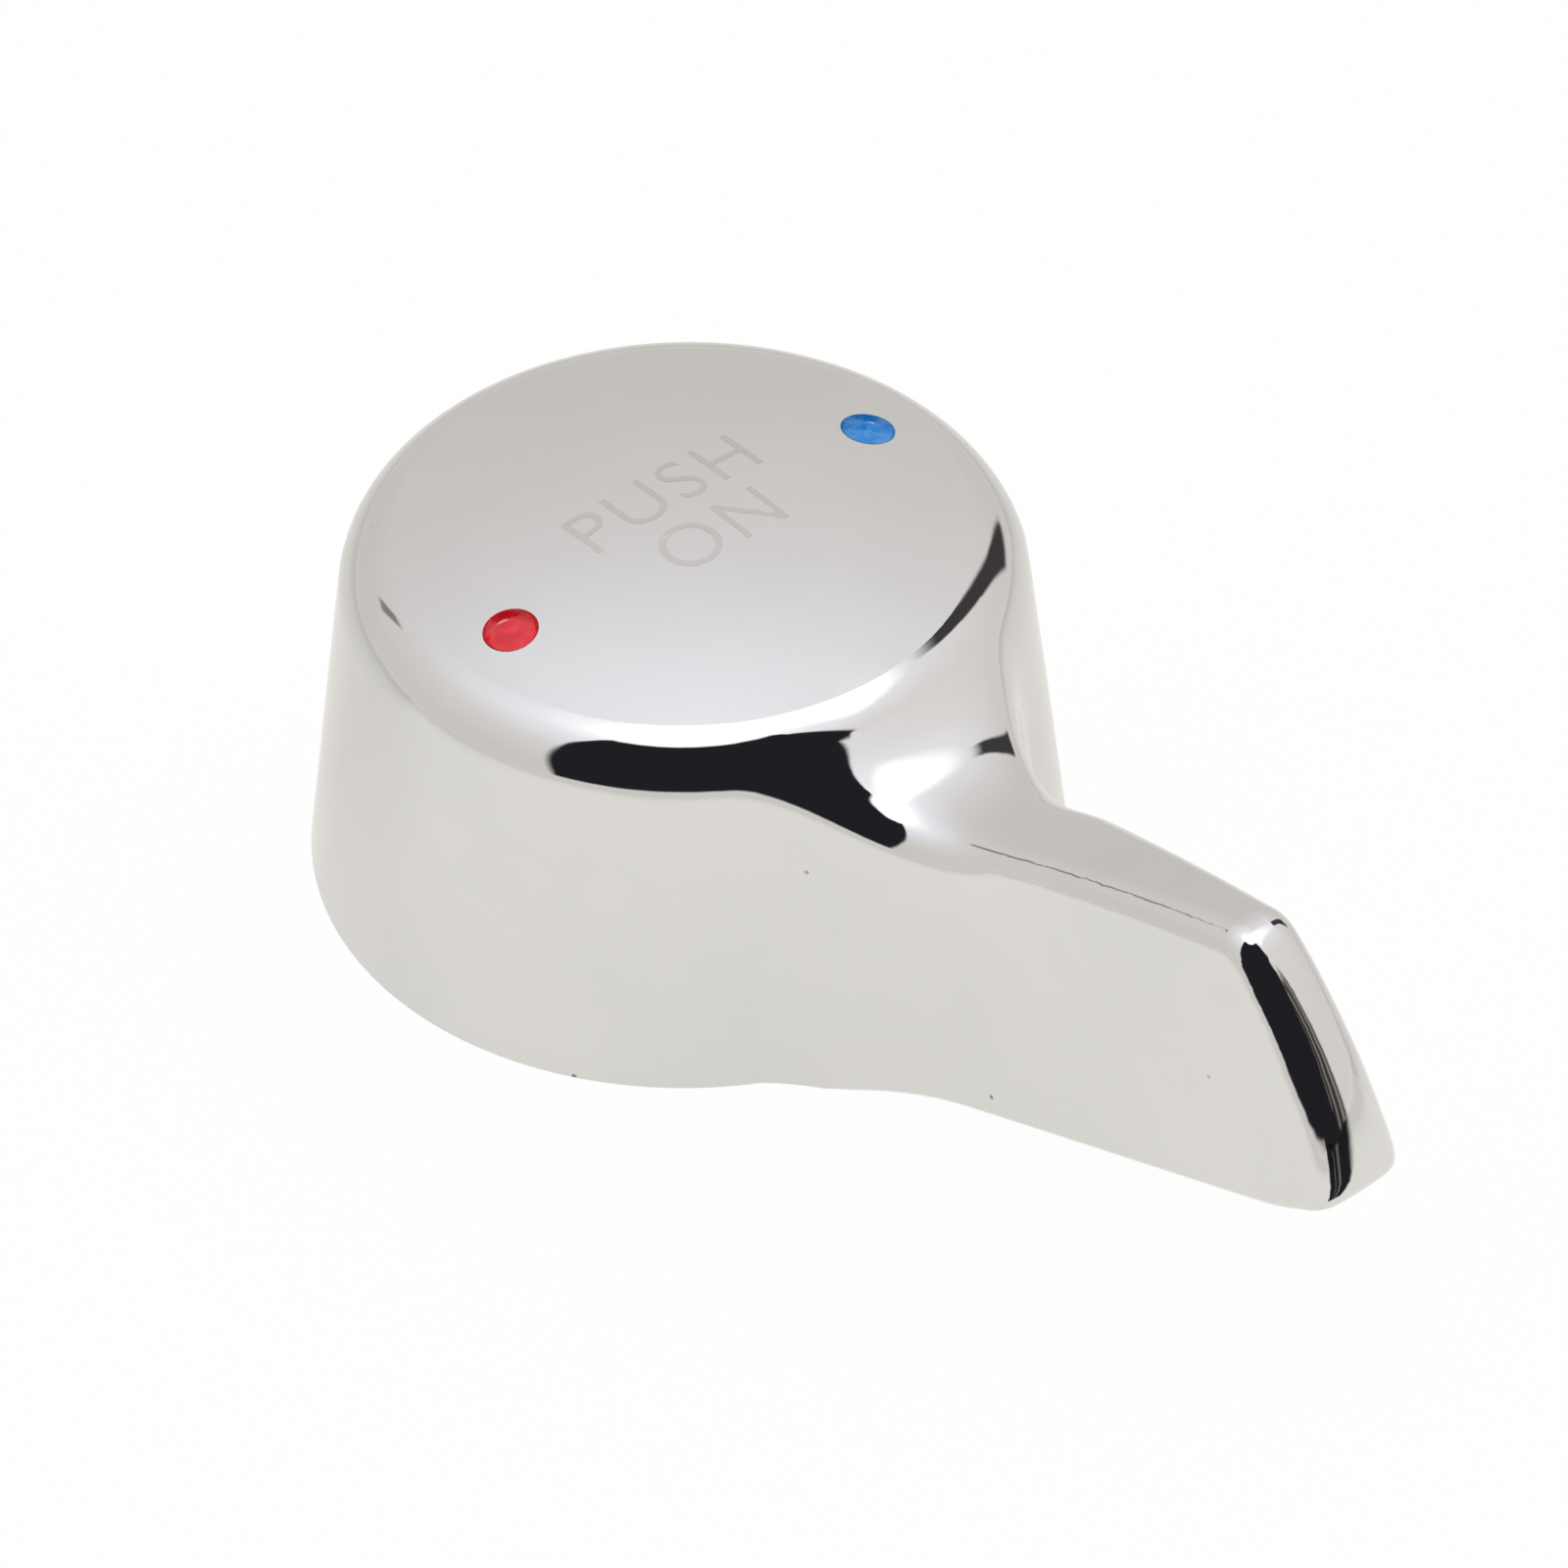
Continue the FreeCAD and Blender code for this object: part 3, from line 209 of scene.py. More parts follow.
# A copy on an even grid, polished soft; nose and saddle settle onto it and take its run of light.
POLISH_GRID = 0.0005
POLISH_STRENGTH = 0.5
POLISH_PASSES = (("nose", 30), ("saddle", 60))
bpy.ops.object.duplicate()
soft = bpy.context.object
soft.vertex_groups.clear()
grid = soft.modifiers.new("grid", "REMESH")
grid.mode = "VOXEL"
grid.voxel_size = POLISH_GRID
bpy.ops.object.modifier_apply(modifier="grid")
for place_name, passes in POLISH_PASSES:
    bpy.context.view_layer.objects.active = soft
    polish = soft.modifiers.new("polish", "SMOOTH")
    polish.factor = POLISH_STRENGTH
    polish.iterations = passes
    bpy.ops.object.modifier_apply(modifier="polish")
    bpy.context.view_layer.objects.active = body
    settle = body.modifiers.new("settle", "SHRINKWRAP")
    settle.target = soft
    settle.wrap_method = "NEAREST_SURFACEPOINT"
    settle.vertex_group = place_name
    bpy.ops.object.modifier_apply(modifier="settle")
    lie = soft.data
    lie_tree = bvhtree.BVHTree.FromPolygons([v.co for v in lie.vertices], [p.vertices for p in lie.polygons])
    corners = [v for polygon in body.data.polygons for v in polygon.vertices]
    for corner, v in enumerate(corners):
        if shares[place_name][v] > 0:
            nearest, _, found, _ = lie_tree.find_nearest(body.data.vertices[v].co)
            around = lie.polygons[found].vertices
            parts = interpolate.poly_3d_calc([lie.vertices[a].co for a in around], nearest)
            eased = sum((part * lie.vertices[a].normal for part, a in zip(parts, around)), Vector())
            slants[corner] = slants[corner].lerp(eased.normalized(), shares[place_name][v]).normalized()

bpy.ops.object.select_all(action="DESELECT")
bpy.context.view_layer.objects.active = body
body.select_set(True)
bpy.ops.object.shade_smooth()
body.data.normals_split_custom_set(slants)
body.vertex_groups.clear()
bpy.data.objects.remove(soft)
body.data.materials.clear()
body.data.materials.append(chrome)
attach(body, "root")
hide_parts("handle_body")

# Operating legend: two short lines engraved by a needle and left matt in the plating of the dome.
# Generic operating words in Blender's own font, thinned to the engraved stroke.
LEGEND = (("legend_upper", "PUSH", 0.00002), ("legend_lower", "ON", 0.0003))
LEGEND_X = 0.00074
LEGEND_PROUD = 0.000008
LINE_STEP = 0.0053
CAP_HEIGHT, CAP_SHARE_OF_FONT = 0.0042, 0.729
LETTER_SPACING = 1.12
STROKE_THINNED = -0.00005
OVER_DOME = 0.035
ETCH_GRAINS = 4000.0

# Etched chrome: the same metal left matt, so the strokes read as soft grey lines on the mirror. Its grain
# is a quarter of a millimetre, coarser than a real etch, so that it shows at all.
etched = bpy.data.materials.new("etched_chrome")
tree, output = fresh_tree(etched)
place = node(tree, "ShaderNodeTexCoord").outputs["Object"]
tooth = node(tree, "ShaderNodeTexNoise", {"Vector": place, "Scale": ETCH_GRAINS, "Detail": 2.0})
frost = node(tree, "ShaderNodeMapRange", {"Value": tooth.outputs["Fac"], "To Min": 0.1, "To Max": 0.18})
shade = node(tree, "ShaderNodeMix", {"Factor": tooth.outputs["Fac"], "A": linear("#D1CFCD"),
                                     "B": linear("#CAC8C6")}, data_type="RGBA")
surface = node(tree, "ShaderNodeBsdfPrincipled", {"Base Color": shade.outputs["Result"], "Metallic": 1.0,
                                                  "Roughness": frost.outputs["Result"]})
tree.links.new(surface.outputs["BSDF"], output.inputs["Surface"])

for number, (name, words, line_y) in enumerate(LEGEND):
    bpy.ops.object.select_all(action="DESELECT")
    bpy.ops.object.text_add(location=(0, 0, 0))
    line = bpy.context.object
    line.name = name
    line.data.body = words
    line.data.size = CAP_HEIGHT / CAP_SHARE_OF_FONT
    line.data.space_character = LETTER_SPACING
    line.data.offset = STROKE_THINNED
    line.data.align_x = "CENTER"
    line.data.align_y = "CENTER"
    bpy.ops.object.convert(target="MESH")
    line.rotation_euler = (0, 0, math.radians(90))
    line.location = (LEGEND_X + number * LINE_STEP - LINE_STEP / 2, line_y, OVER_DOME)
    bpy.ops.object.transform_apply(location=True, rotation=True, scale=True)
    bpy.ops.object.mode_set(mode="EDIT")
    bpy.ops.mesh.select_all(action="SELECT")
    bpy.ops.mesh.remove_doubles(threshold=MERGE)
    bpy.ops.mesh.quads_convert_to_tris()
    bpy.ops.mesh.subdivide(number_cuts=2)
    bpy.ops.object.mode_set(mode="OBJECT")
    wrap = line.modifiers.new("settle", "SHRINKWRAP")
    wrap.target = body
    wrap.wrap_method = "PROJECT"
    wrap.use_project_z = True
    wrap.use_negative_direction = True
    wrap.use_positive_direction = False
    wrap.offset = LEGEND_PROUD
    bpy.ops.object.modifier_apply(modifier="settle")
    line.data.materials.clear()
    line.data.materials.append(etched)
    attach(line, "root")

# Enamel marks: a drop of glossy paint run into each round dimple by hand and stoved.
# The paint clings to the rim, sags inside it and stays a little crowned in the middle; red is hot, blue cold.
MARK_R = 0.00178
MARK_DEPTH = 0.00088
MARK_SIDES = 64
MARK_EDGE = math.radians(40)
POOL_RINGS = ((0.00014, -0.00030), (0.00022, -0.00016), (0.00027, -0.00004), (0.00027, 0.00003),
              (0.00030, 0.00006), (0.00025, 0.00004))
CROWN_R = 0.0793
CROWN_H = 0.0278
SWIRLS = 700.0
for name, node_name, slot_name, colours in (
        ("hot_enamel", "hot_mark", "hot_enamel", ("#DF1D2D", "#C01522", "#F0505E")),
        ("cold_enamel", "cold_mark", "cold_enamel", ("#1583D2", "#0C6CBC", "#66AEEA"))):
    # Stoved enamel: deep glossy colour in swirls 1.4 mm wide, paler where it ran thin, darker where it pools.
    enamel = bpy.data.materials.new(name)
    tree, output = fresh_tree(enamel)
    place = node(tree, "ShaderNodeTexCoord").outputs["Object"]
    swirl = node(tree, "ShaderNodeTexNoise", {"Vector": place, "Scale": SWIRLS, "Detail": 2.0,
                                              "Distortion": 1.2})
    thin = node(tree, "ShaderNodeMapRange", {"Value": swirl.outputs["Fac"], "From Min": 0.5, "From Max": 0.75,
                                             "To Min": 0.0, "To Max": 0.45})
    pooled = node(tree, "ShaderNodeMapRange", {"Value": swirl.outputs["Fac"], "From Min": 0.45,
                                               "From Max": 0.25, "To Min": 0.0, "To Max": 0.8})
    deep = node(tree, "ShaderNodeMix", {"Factor": pooled.outputs["Result"], "A": linear(colours[0]),
                                        "B": linear(colours[1])}, data_type="RGBA")
    paint = node(tree, "ShaderNodeMix", {"Factor": thin.outputs["Result"], "A": deep.outputs["Result"],
                                         "B": linear(colours[2])}, data_type="RGBA")
    ripple = node(tree, "ShaderNodeBump", {"Height": swirl.outputs["Fac"], "Strength": 0.25,
                                           "Distance": 0.0002})
    surface = node(tree, "ShaderNodeBsdfPrincipled", {"Base Color": paint.outputs["Result"], "IOR": 1.5,
                                                      "Roughness": 0.12, "Normal": ripple.outputs["Normal"]})
    tree.links.new(surface.outputs["BSDF"], output.inputs["Surface"])

    low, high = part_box(node_name)
    centre = (low + high) / 2
    tilt = math.asin(math.hypot(centre.x, centre.y) / CROWN_R)
    bearing = math.atan2(centre.y, centre.x)
    top = CROWN_H - CROWN_R + math.sqrt(CROWN_R ** 2 - centre.x ** 2 - centre.y ** 2)
    bpy.ops.object.select_all(action="DESELECT")
    bpy.ops.mesh.primitive_cylinder_add(vertices=MARK_SIDES, radius=MARK_R, depth=MARK_DEPTH,
                                        location=(0, 0, -MARK_DEPTH / 2))
    drop = bpy.context.object
    drop.name = name
    bpy.ops.object.transform_apply(location=True, rotation=True, scale=True)
    bpy.ops.object.mode_set(mode="EDIT")
    bpy.ops.mesh.select_mode(type="FACE")
    bpy.ops.mesh.select_all(action="DESELECT")
    bpy.ops.object.mode_set(mode="OBJECT")
    for face in drop.data.polygons:
        face.select = face.normal.z > UP_FACING
    bpy.ops.object.mode_set(mode="EDIT")
    for width, lift in POOL_RINGS:
        bpy.ops.mesh.inset(thickness=width, depth=lift)
    bpy.ops.mesh.poke()
    bpy.ops.object.mode_set(mode="OBJECT")
    drop.rotation_euler = (0, tilt, bearing)
    drop.location = (centre.x, centre.y, top)
    bpy.ops.object.transform_apply(location=True, rotation=True, scale=True)
    bpy.ops.object.shade_smooth_by_angle(angle=MARK_EDGE)
    drop.data.materials.clear()
    drop.data.materials.append(enamel)
    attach(drop, "root")
    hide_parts(node_name)

# Grub screw: a socket set screw, M5 with a rolled thread and a broached hexagon, oiled black-grey steel.
# It is backed off in its hole behind the stem, with its socket facing the back of the drum.
SCREW_OUT = -0.02035
SCREW_IN = -0.00435
SCREW_Z = 0.009
CREST_R = 0.00245
CORE_R = 0.00208
PITCH = 0.0008
SCREW_SIDES, THREAD_STEPS = 48, 32
SCREW_EDGE = math.radians(35)
END_BEVEL = 0.0004
KEY_R = 0.00125 / math.cos(math.radians(30))
KEY_LENGTH = 0.005
RIDGE_R, RIDGE_SQUASH = 0.0005, 0.8
THREAD_START, THREAD_SHORTER = 0.0011, 0.0018
OIL_SPOTS = 1200.0

# Screw steel: dark satin metal under an uneven oily film, in spots of just under a millimetre.
steel = bpy.data.materials.new("screw_steel")
tree, output = fresh_tree(steel)
place = node(tree, "ShaderNodeTexCoord").outputs["Object"]
film = node(tree, "ShaderNodeTexNoise", {"Vector": place, "Scale": OIL_SPOTS, "Detail": 3.0})
worn = node(tree, "ShaderNodeMapRange", {"Value": film.outputs["Fac"], "To Min": 0.25, "To Max": 0.5})
tone = node(tree, "ShaderNodeMix", {"Factor": film.outputs["Fac"], "A": linear("#8E8D8B"),
                                    "B": linear("#B3B2B0")}, data_type="RGBA")
surface = node(tree, "ShaderNodeBsdfPrincipled", {"Base Color": tone.outputs["Result"], "Metallic": 1.0,
                                                  "Roughness": worn.outputs["Result"]})
tree.links.new(surface.outputs["BSDF"], output.inputs["Surface"])

length = SCREW_IN - SCREW_OUT
bpy.ops.object.select_all(action="DESELECT")
bpy.ops.mesh.primitive_cylinder_add(vertices=6, radius=KEY_R, depth=KEY_LENGTH, location=(0, 0, -length / 2))
key = bpy.context.object
bpy.ops.object.select_all(action="DESELECT")
bpy.ops.mesh.primitive_cylinder_add(vertices=SCREW_SIDES, radius=CORE_R, depth=length, location=(0, 0, 0))
screw = bpy.context.object
screw.name = "grub_screw"
bpy.ops.object.mode_set(mode="EDIT")
bpy.ops.mesh.select_all(action="DESELECT")
bpy.ops.object.mode_set(mode="OBJECT")
for edge in screw.data.edges:
    ends = [screw.data.vertices[v].co.z for v in edge.vertices]
    edge.select = abs(ends[0] - ends[1]) < MERGE
bpy.ops.object.mode_set(mode="EDIT")
bpy.ops.mesh.bevel(offset=END_BEVEL, segments=2)
bpy.ops.object.mode_set(mode="OBJECT")
broach = screw.modifiers.new("broach", "BOOLEAN")
broach.operation = "DIFFERENCE"
broach.solver = "EXACT"
broach.object = key
bpy.ops.object.modifier_apply(modifier="broach")
bpy.data.objects.remove(key)

bpy.ops.object.select_all(action="DESELECT")
bpy.ops.mesh.primitive_circle_add(vertices=3, radius=RIDGE_R, fill_type="NOTHING", location=(0, 0, 0))
ridge = bpy.context.object
bpy.ops.object.mode_set(mode="EDIT")
bpy.ops.mesh.select_all(action="SELECT")
bpy.ops.transform.rotate(value=math.radians(-90), orient_axis="Z", center_override=(0, 0, 0))
bpy.ops.transform.rotate(value=math.radians(90), orient_axis="X", center_override=(0, 0, 0))
bpy.ops.object.mode_set(mode="OBJECT")
reach = max(v.co.x for v in ridge.data.vertices)
for vertex in ridge.data.vertices:
    vertex.co.x += CREST_R - reach
    vertex.co.z *= RIDGE_SQUASH
    vertex.co.z -= length / 2 - THREAD_START
thread = ridge.modifiers.new("thread", "SCREW")
thread.axis = "Z"
thread.screw_offset = PITCH
thread.iterations = int((length - THREAD_SHORTER) / PITCH)
thread.steps = THREAD_STEPS
thread.render_steps = THREAD_STEPS
thread.use_merge_vertices = True
thread.merge_threshold = MERGE
bpy.ops.object.modifier_apply(modifier="thread")
bpy.ops.object.mode_set(mode="EDIT")
bpy.ops.mesh.select_all(action="SELECT")
bpy.ops.mesh.fill_holes(sides=4)
bpy.ops.mesh.normals_make_consistent(inside=False)
bpy.ops.object.mode_set(mode="OBJECT")
screw.select_set(True)
bpy.context.view_layer.objects.active = screw
bpy.ops.object.join()
screw.rotation_euler = (0, math.radians(90), 0)
screw.location = ((SCREW_OUT + SCREW_IN) / 2, 0, SCREW_Z)
bpy.ops.object.transform_apply(location=True, rotation=True, scale=True)
bpy.ops.object.shade_smooth_by_angle(angle=SCREW_EDGE)
screw.data.materials.clear()
screw.data.materials.append(steel)
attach(screw, "root")
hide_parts("set_screw")

# Floor: a plain pale sheet that the rim stands on; it reads white and keeps a faint shadow.
# It lies a hair below the rim, and seen from beneath it is clear, so that the hollow shows.
FLOOR_Z = -0.00005
FLOOR_SIZE = 6.0
bpy.ops.object.select_all(action="DESELECT")
bpy.ops.mesh.primitive_plane_add(size=FLOOR_SIZE, location=(0, 0, FLOOR_Z))
floor = bpy.context.object
floor.name = "floor"


def window(tree, limits, value):
    """1 where value lies between a low and a high limit; the third number softens the edges."""
    low, high, soft = limits
    enter = node(tree, "ShaderNodeMapRange", {"Value": value, "From Min": low - soft, "From Max": low + soft},
                 interpolation_type="SMOOTHSTEP")
    leave = node(tree, "ShaderNodeMapRange", {"Value": value, "From Min": high + soft,
                                              "From Max": high - soft}, interpolation_type="SMOOTHSTEP")
    both = node(tree, "ShaderNodeMath", {0: enter.outputs["Result"], 1: leave.outputs["Result"]},
                operation="MULTIPLY")
    return both.outputs["Value"]


def bearing_from_camera(tree, vector):
    """The X, Y and Z of a vector whose X points at the camera, and its degrees round from there."""
    axes = node(tree, "ShaderNodeSeparateXYZ", {"Vector": vector})
    turn = node(tree, "ShaderNodeMath", {0: axes.outputs["Y"], 1: axes.outputs["X"]}, operation="ARCTAN2")
    degrees = node(tree, "ShaderNodeMath", {0: turn.outputs["Value"], 1: math.degrees(1)},
                   operation="MULTIPLY")
    return axes.outputs, degrees.outputs["Value"]


# White board: pale matt sheet, a touch warm where the chrome mirrors it. What the chrome mirrors of it
# also holds painted shade, dimmer behind the drum and far off, and beyond the lever's nose a painted
# reflection: a dark bar with two pale streaks, seen only in the chrome.
CAMERA_BEARING = -40.89
WHITE = (1.0, 1.0, 1.0, 1.0)
BOARD_TONE = (1.04, 1.01, 0.955, 1.0)
BOARD_SEEN, BOARD_MIRRORED = 0.97, 0.8
# Painted shade in the mirrored board: dimmer behind the drum, fainter far off.
BOARD_BEHIND, BOARD_BEFORE, PAINTED_SHADE_BEHIND = -0.056, -0.03, 0.84
BOARD_NEAR, BOARD_FAR, PAINTED_SHADE_FAR = 0.1, 0.3, 0.78
# Painted reflection: a dark bar with two pale painted streaks past the lever's nose, seen only in the chrome.
PAINTED_LIGHT_CENTRE = (-0.062, 0.006, 0.0)
PAINTED_BAR_FROM = 0.021
PAINTED_BAR = (30.0, 71.0, 2.0)
PAINTED_BAR_STREAKS = ((45.0, 46.5, 0.7), (53.0, 57.0, 1.5))
PAINTED_BAR_DARK, PAINTED_STREAK_PALE = (0.02, 0.019, 0.022, 1.0), (0.2, 0.19, 0.18, 1.0)
board = bpy.data.materials.new("white_board")
tree, output = fresh_tree(board)
ray = node(tree, "ShaderNodeLightPath")
place = node(tree, "ShaderNodeTexCoord").outputs["Object"]
shifted = node(tree, "ShaderNodeMapping", {"Vector": place, "Location": PAINTED_LIGHT_CENTRE})
facing = node(tree, "ShaderNodeMapping", {"Vector": shifted.outputs["Vector"],
                                          "Rotation": (0.0, 0.0, math.radians(-CAMERA_BEARING))})
axes, degrees = bearing_from_camera(tree, facing.outputs["Vector"])
away = node(tree, "ShaderNodeVectorMath", {0: facing.outputs["Vector"]}, operation="LENGTH")
beyond = node(tree, "ShaderNodeMath", {0: away.outputs["Value"], 1: PAINTED_BAR_FROM}, operation="GREATER_THAN")
# The painted dark bar and its painted pale streaks, mixed into the board's mirrored tone.
painted_bar = node(tree, "ShaderNodeMath", {0: window(tree, PAINTED_BAR, degrees), 1: beyond.outputs["Value"]},
             operation="MULTIPLY")
streaks = node(tree, "ShaderNodeMath", {0: window(tree, PAINTED_BAR_STREAKS[0], degrees),
                                        1: window(tree, PAINTED_BAR_STREAKS[1], degrees)}, operation="ADD")
painted_bar_tone = node(tree, "ShaderNodeMix", {"Factor": streaks.outputs["Value"], "A": PAINTED_BAR_DARK, "B": PAINTED_STREAK_PALE},
             data_type="RGBA")
sheet = node(tree, "ShaderNodeMix", {"Factor": painted_bar.outputs["Value"], "A": BOARD_TONE,
                                     "B": painted_bar_tone.outputs["Result"]}, data_type="RGBA")
# Painted shade: the mirrored board's glow dims behind the drum and fades far off.
behind = node(tree, "ShaderNodeMapRange", {"Value": axes["X"], "From Min": BOARD_BEHIND,
                                           "From Max": BOARD_BEFORE, "To Min": PAINTED_SHADE_BEHIND, "To Max": 1.0})
far = node(tree, "ShaderNodeMapRange", {"Value": away.outputs["Value"], "From Min": BOARD_NEAR,
                                        "From Max": BOARD_FAR, "To Min": 1.0, "To Max": PAINTED_SHADE_FAR})
painted_shade = node(tree, "ShaderNodeMath", {0: behind.outputs["Result"], 1: far.outputs["Result"]},
               operation="MULTIPLY")
matt = node(tree, "ShaderNodeBsdfDiffuse", {"Color": linear("#F4F2EF")})
white = node(tree, "ShaderNodeEmission", {"Color": WHITE, "Strength": 1.0})
warm = node(tree, "ShaderNodeEmission", {"Color": sheet.outputs["Result"],
                                         "Strength": painted_shade.outputs["Value"]})
mirrored = node(tree, "ShaderNodeMath", {0: ray.outputs["Is Glossy Ray"],
                                         1: ray.outputs["Is Transmission Ray"]}, operation="MAXIMUM")
lit_camera = node(tree, "ShaderNodeMath", {0: ray.outputs["Is Camera Ray"], 1: BOARD_SEEN},
                  operation="MULTIPLY")
glow = node(tree, "ShaderNodeMapRange", {"Value": painted_bar.outputs["Value"], "To Min": BOARD_MIRRORED,
                                         "To Max": 1.0})
lit_mirror = node(tree, "ShaderNodeMath", {0: mirrored.outputs["Value"], 1: glow.outputs["Result"]},
                  operation="MULTIPLY")
seen = node(tree, "ShaderNodeMixShader", {"Fac": lit_camera.outputs["Value"], 1: matt.outputs["BSDF"],
                                          2: white.outputs["Emission"]})
both = node(tree, "ShaderNodeMixShader", {"Fac": lit_mirror.outputs["Value"], 1: seen.outputs["Shader"],
                                          2: warm.outputs["Emission"]})
beneath = node(tree, "ShaderNodeNewGeometry").outputs["Backfacing"]
clear = node(tree, "ShaderNodeBsdfTransparent")
sided = node(tree, "ShaderNodeMixShader", {"Fac": beneath, 1: both.outputs["Shader"],
                                           2: clear.outputs["BSDF"]})
tree.links.new(sided.outputs["Shader"], output.inputs["Surface"])
floor.data.materials.append(board)

# Studio: a tent of lit white cloth round the handle, brightest overhead and high on its far right.
# The photographer stands in a dark gap in it; a strip, a post and a seam of it draw lines in the chrome.
# Each is given by its bearing in degrees from the camera, then by its height in degrees over the board.
TENT_TONES = ((-90, (0.95, 0.92, 0.87)), (-4, (0.86, 0.83, 0.79)), (4, (0.79, 0.755, 0.72)),
              (15, (0.795, 0.755, 0.72)), (25, (0.82, 0.785, 0.76)), (35, (0.865, 0.825, 0.805)),
              (45, (0.92, 0.88, 0.88)), (55, (1.01, 0.99, 1.02)), (66, (1.14, 1.125, 1.17)),
              (75, (1.38, 1.38, 1.41)), (78, (2.6, 2.6, 2.6)), (81, (8.0, 8.0, 8.0)))
SIDE_LIGHT, WING_LIGHT = (0.03, 0.045, 0.0), 0.1
LAMP, LAMP_TONE = ((82.0, 152.0, 8.0), (58.0, 95.0, 3.5)), (1.6, 1.6, 1.6, 1.0)
STRIP, STRIP_TONE = ((133.0, 146.0, 1.5), (10.0, 52.0, 3.0)), (0.06, 0.054, 0.055, 1.0)
SEAM, SEAM_TONE = (-130.5, -125.5, 0.8), (0.3, 0.29, 0.29, 1.0)
SEAM_HEIGHTS = ((-14.0, -4.0, 2.0), (26.0, 37.0, 2.0))
POST, POST_TONE = ((60.0, 71.0, 1.0), (-10.0, 34.0, 3.0)), (0.06, 0.052, 0.048, 1.0)
GLINTS, GLINT_TONE = ((63.6, 65.0, 0.6), (68.0, 69.4, 0.6)), (0.36, 0.33, 0.3, 1.0)
GAP_FROM, GAP_FROM_SLANT = (-39.0, 200.0, 1.5), 0.2
GAP_TO, GAP_TO_SLANT = (-200.0, 60.0, 1.5), -0.03
GAP_HEIGHT, GAP_TONE = (3.0, 73.5, 1.5), (0.019, 0.018, 0.022, 1.0)
GAP_FOOT = ((30.0, 62.0, 2.0), (-8.0, 6.0, 1.5))
world = bpy.data.worlds.new("studio")
bpy.context.scene.world = world
world.use_nodes = True
tree = world.node_tree
tree.nodes.clear()
output = tree.nodes.new("ShaderNodeOutputWorld")
heading = node(tree, "ShaderNodeTexCoord").outputs["Generated"]
turned = node(tree, "ShaderNodeMapping", {"Vector": heading,
                                          "Rotation": (0.0, 0.0, math.radians(-CAMERA_BEARING))})
axes, azimuth = bearing_from_camera(tree, turned.outputs["Vector"])
arc = node(tree, "ShaderNodeMath", {0: axes["Z"]}, operation="ARCSINE")
elevation = node(tree, "ShaderNodeMath", {0: arc.outputs["Value"], 1: math.degrees(1)},
                 operation="MULTIPLY").outputs["Value"]

# The cloth's run of light from the board up to overhead, and a little more light from the sides.
rise = node(tree, "ShaderNodeMapRange", {"Value": elevation, "From Min": -90.0, "From Max": 90.0})
tent = node(tree, "ShaderNodeValToRGB", {"Fac": rise.outputs["Result"]})
ramp = tent.color_ramp
while len(ramp.elements) < len(TENT_TONES):
    ramp.elements.new(0.5)
for element, (height, tone) in zip(ramp.elements, TENT_TONES):
    element.position = (height + 90) / 180
    element.color = (*tone, 1.0)
side = node(tree, "ShaderNodeVectorMath", {0: turned.outputs["Vector"], 1: SIDE_LIGHT},
            operation="DOT_PRODUCT")
wings = node(tree, "ShaderNodeMath", {0: axes["Y"], 1: axes["Y"]}, operation="MULTIPLY")
sides = node(tree, "ShaderNodeMath", {0: wings.outputs["Value"], 1: WING_LIGHT, 2: side.outputs["Value"]},
             operation="MULTIPLY_ADD")
lift = node(tree, "ShaderNodeMath", {0: sides.outputs["Value"], 1: 1.0}, operation="ADD")
cloth = node(tree, "ShaderNodeMix", {"Factor": 1.0, "A": tent.outputs["Color"], "B": lift.outputs["Value"]},
             data_type="RGBA", blend_type="MULTIPLY")


def panel(tree, direction, limits):
    """1 inside a panel of the tent; direction and limits each hold a bearing and a height."""
    across, up = [window(tree, edges, value) for edges, value in zip(limits, direction)]
    return node(tree, "ShaderNodeMath", {0: across, 1: up}, operation="MULTIPLY").outputs["Value"]


# The bright, dark and streaked places in the cloth, laid over it one after the other.
direction = (azimuth, elevation)
lamplit = node(tree, "ShaderNodeMix", {"Factor": panel(tree, direction, LAMP), "A": cloth.outputs["Result"],
                                       "B": LAMP_TONE}, data_type="RGBA", blend_type="LIGHTEN")
seam_height = node(tree, "ShaderNodeMath", {0: window(tree, SEAM_HEIGHTS[0], elevation),
                                            1: window(tree, SEAM_HEIGHTS[1], elevation)}, operation="ADD")
seam = node(tree, "ShaderNodeMath", {0: window(tree, SEAM, azimuth), 1: seam_height.outputs["Value"]},
            operation="MULTIPLY")
glints = node(tree, "ShaderNodeMath", {0: window(tree, GLINTS[0], azimuth),
                                       1: window(tree, GLINTS[1], azimuth)}, operation="ADD")
brown = node(tree, "ShaderNodeMix", {"Factor": glints.outputs["Value"], "A": POST_TONE, "B": GLINT_TONE},
             data_type="RGBA")
slanted = node(tree, "ShaderNodeMath", {0: elevation, 1: GAP_FROM_SLANT, 2: azimuth},
               operation="MULTIPLY_ADD")
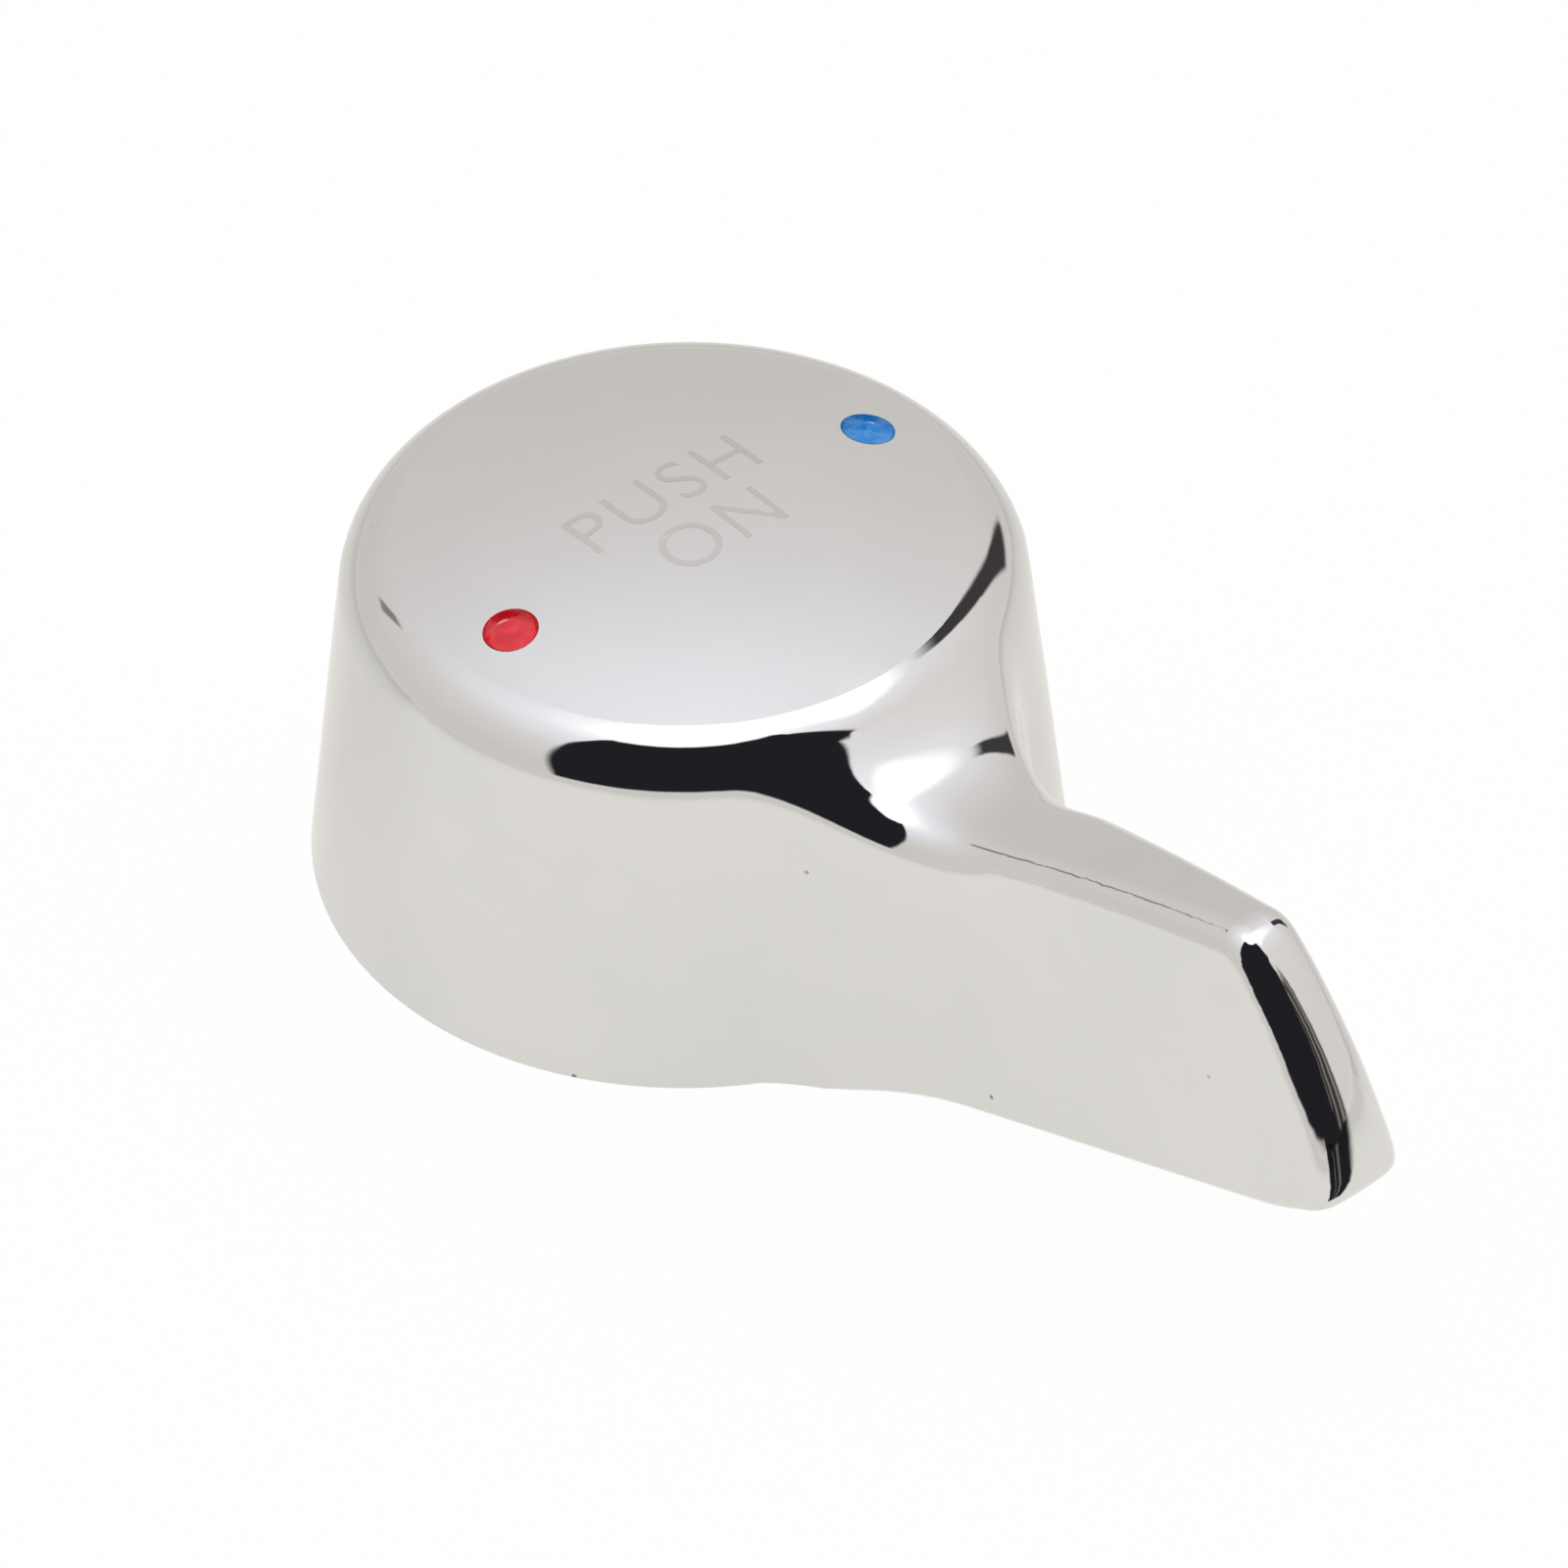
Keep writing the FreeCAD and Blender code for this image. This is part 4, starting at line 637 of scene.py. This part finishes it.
flared = node(tree, "ShaderNodeMath", {0: elevation, 1: GAP_TO_SLANT, 2: azimuth}, operation="MULTIPLY_ADD")
between = node(tree, "ShaderNodeMath", {0: window(tree, GAP_FROM, slanted.outputs["Value"]),
                                        1: window(tree, GAP_TO, flared.outputs["Value"])},
               operation="MULTIPLY")
standing = node(tree, "ShaderNodeMath", {0: between.outputs["Value"], 1: window(tree, GAP_HEIGHT, elevation)},
                operation="MULTIPLY")
gap = node(tree, "ShaderNodeMath", {0: standing.outputs["Value"], 1: panel(tree, direction, GAP_FOOT)},
           operation="MAXIMUM")
light = lamplit.outputs["Result"]
for mask, tone in ((panel(tree, direction, STRIP), STRIP_TONE), (seam.outputs["Value"], SEAM_TONE),
                   (panel(tree, direction, POST), brown.outputs["Result"]), (gap.outputs["Value"], GAP_TONE)):
    laid = node(tree, "ShaderNodeMix", {"Factor": mask, "A": light, "B": tone}, data_type="RGBA")
    light = laid.outputs["Result"]
room = node(tree, "ShaderNodeBackground", {"Color": light, "Strength": 1.0})
paper = node(tree, "ShaderNodeBackground", {"Color": WHITE, "Strength": 1.0})
ray = node(tree, "ShaderNodeLightPath")
view = node(tree, "ShaderNodeMixShader", {"Fac": ray.outputs["Is Camera Ray"], 1: room.outputs["Background"],
                                          2: paper.outputs["Background"]})
tree.links.new(view.outputs["Shader"], output.inputs["Surface"])

# Camera: a long lens, high over the lever's near side, as the photograph was taken.
# Its place and turn come from fitting the rim, the marks and the lever's outline to the photograph.
LENS_MM, SENSOR_MM = 211.293528, 36.0
CAMERA_PLACE = (0.3478467, -0.2928926, 0.4044289)
CAMERA_TURN = (48.62144657, 0.37693368, 48.77880647)
lens = bpy.data.cameras.new("camera")
lens.sensor_width = SENSOR_MM
lens.lens = LENS_MM
camera = bpy.data.objects.new("camera", lens)
camera.location = CAMERA_PLACE
camera.rotation_euler = [math.radians(angle) for angle in CAMERA_TURN]
bpy.context.scene.collection.objects.link(camera)
bpy.context.scene.camera = camera
bpy.context.scene.view_settings.view_transform = "Standard"
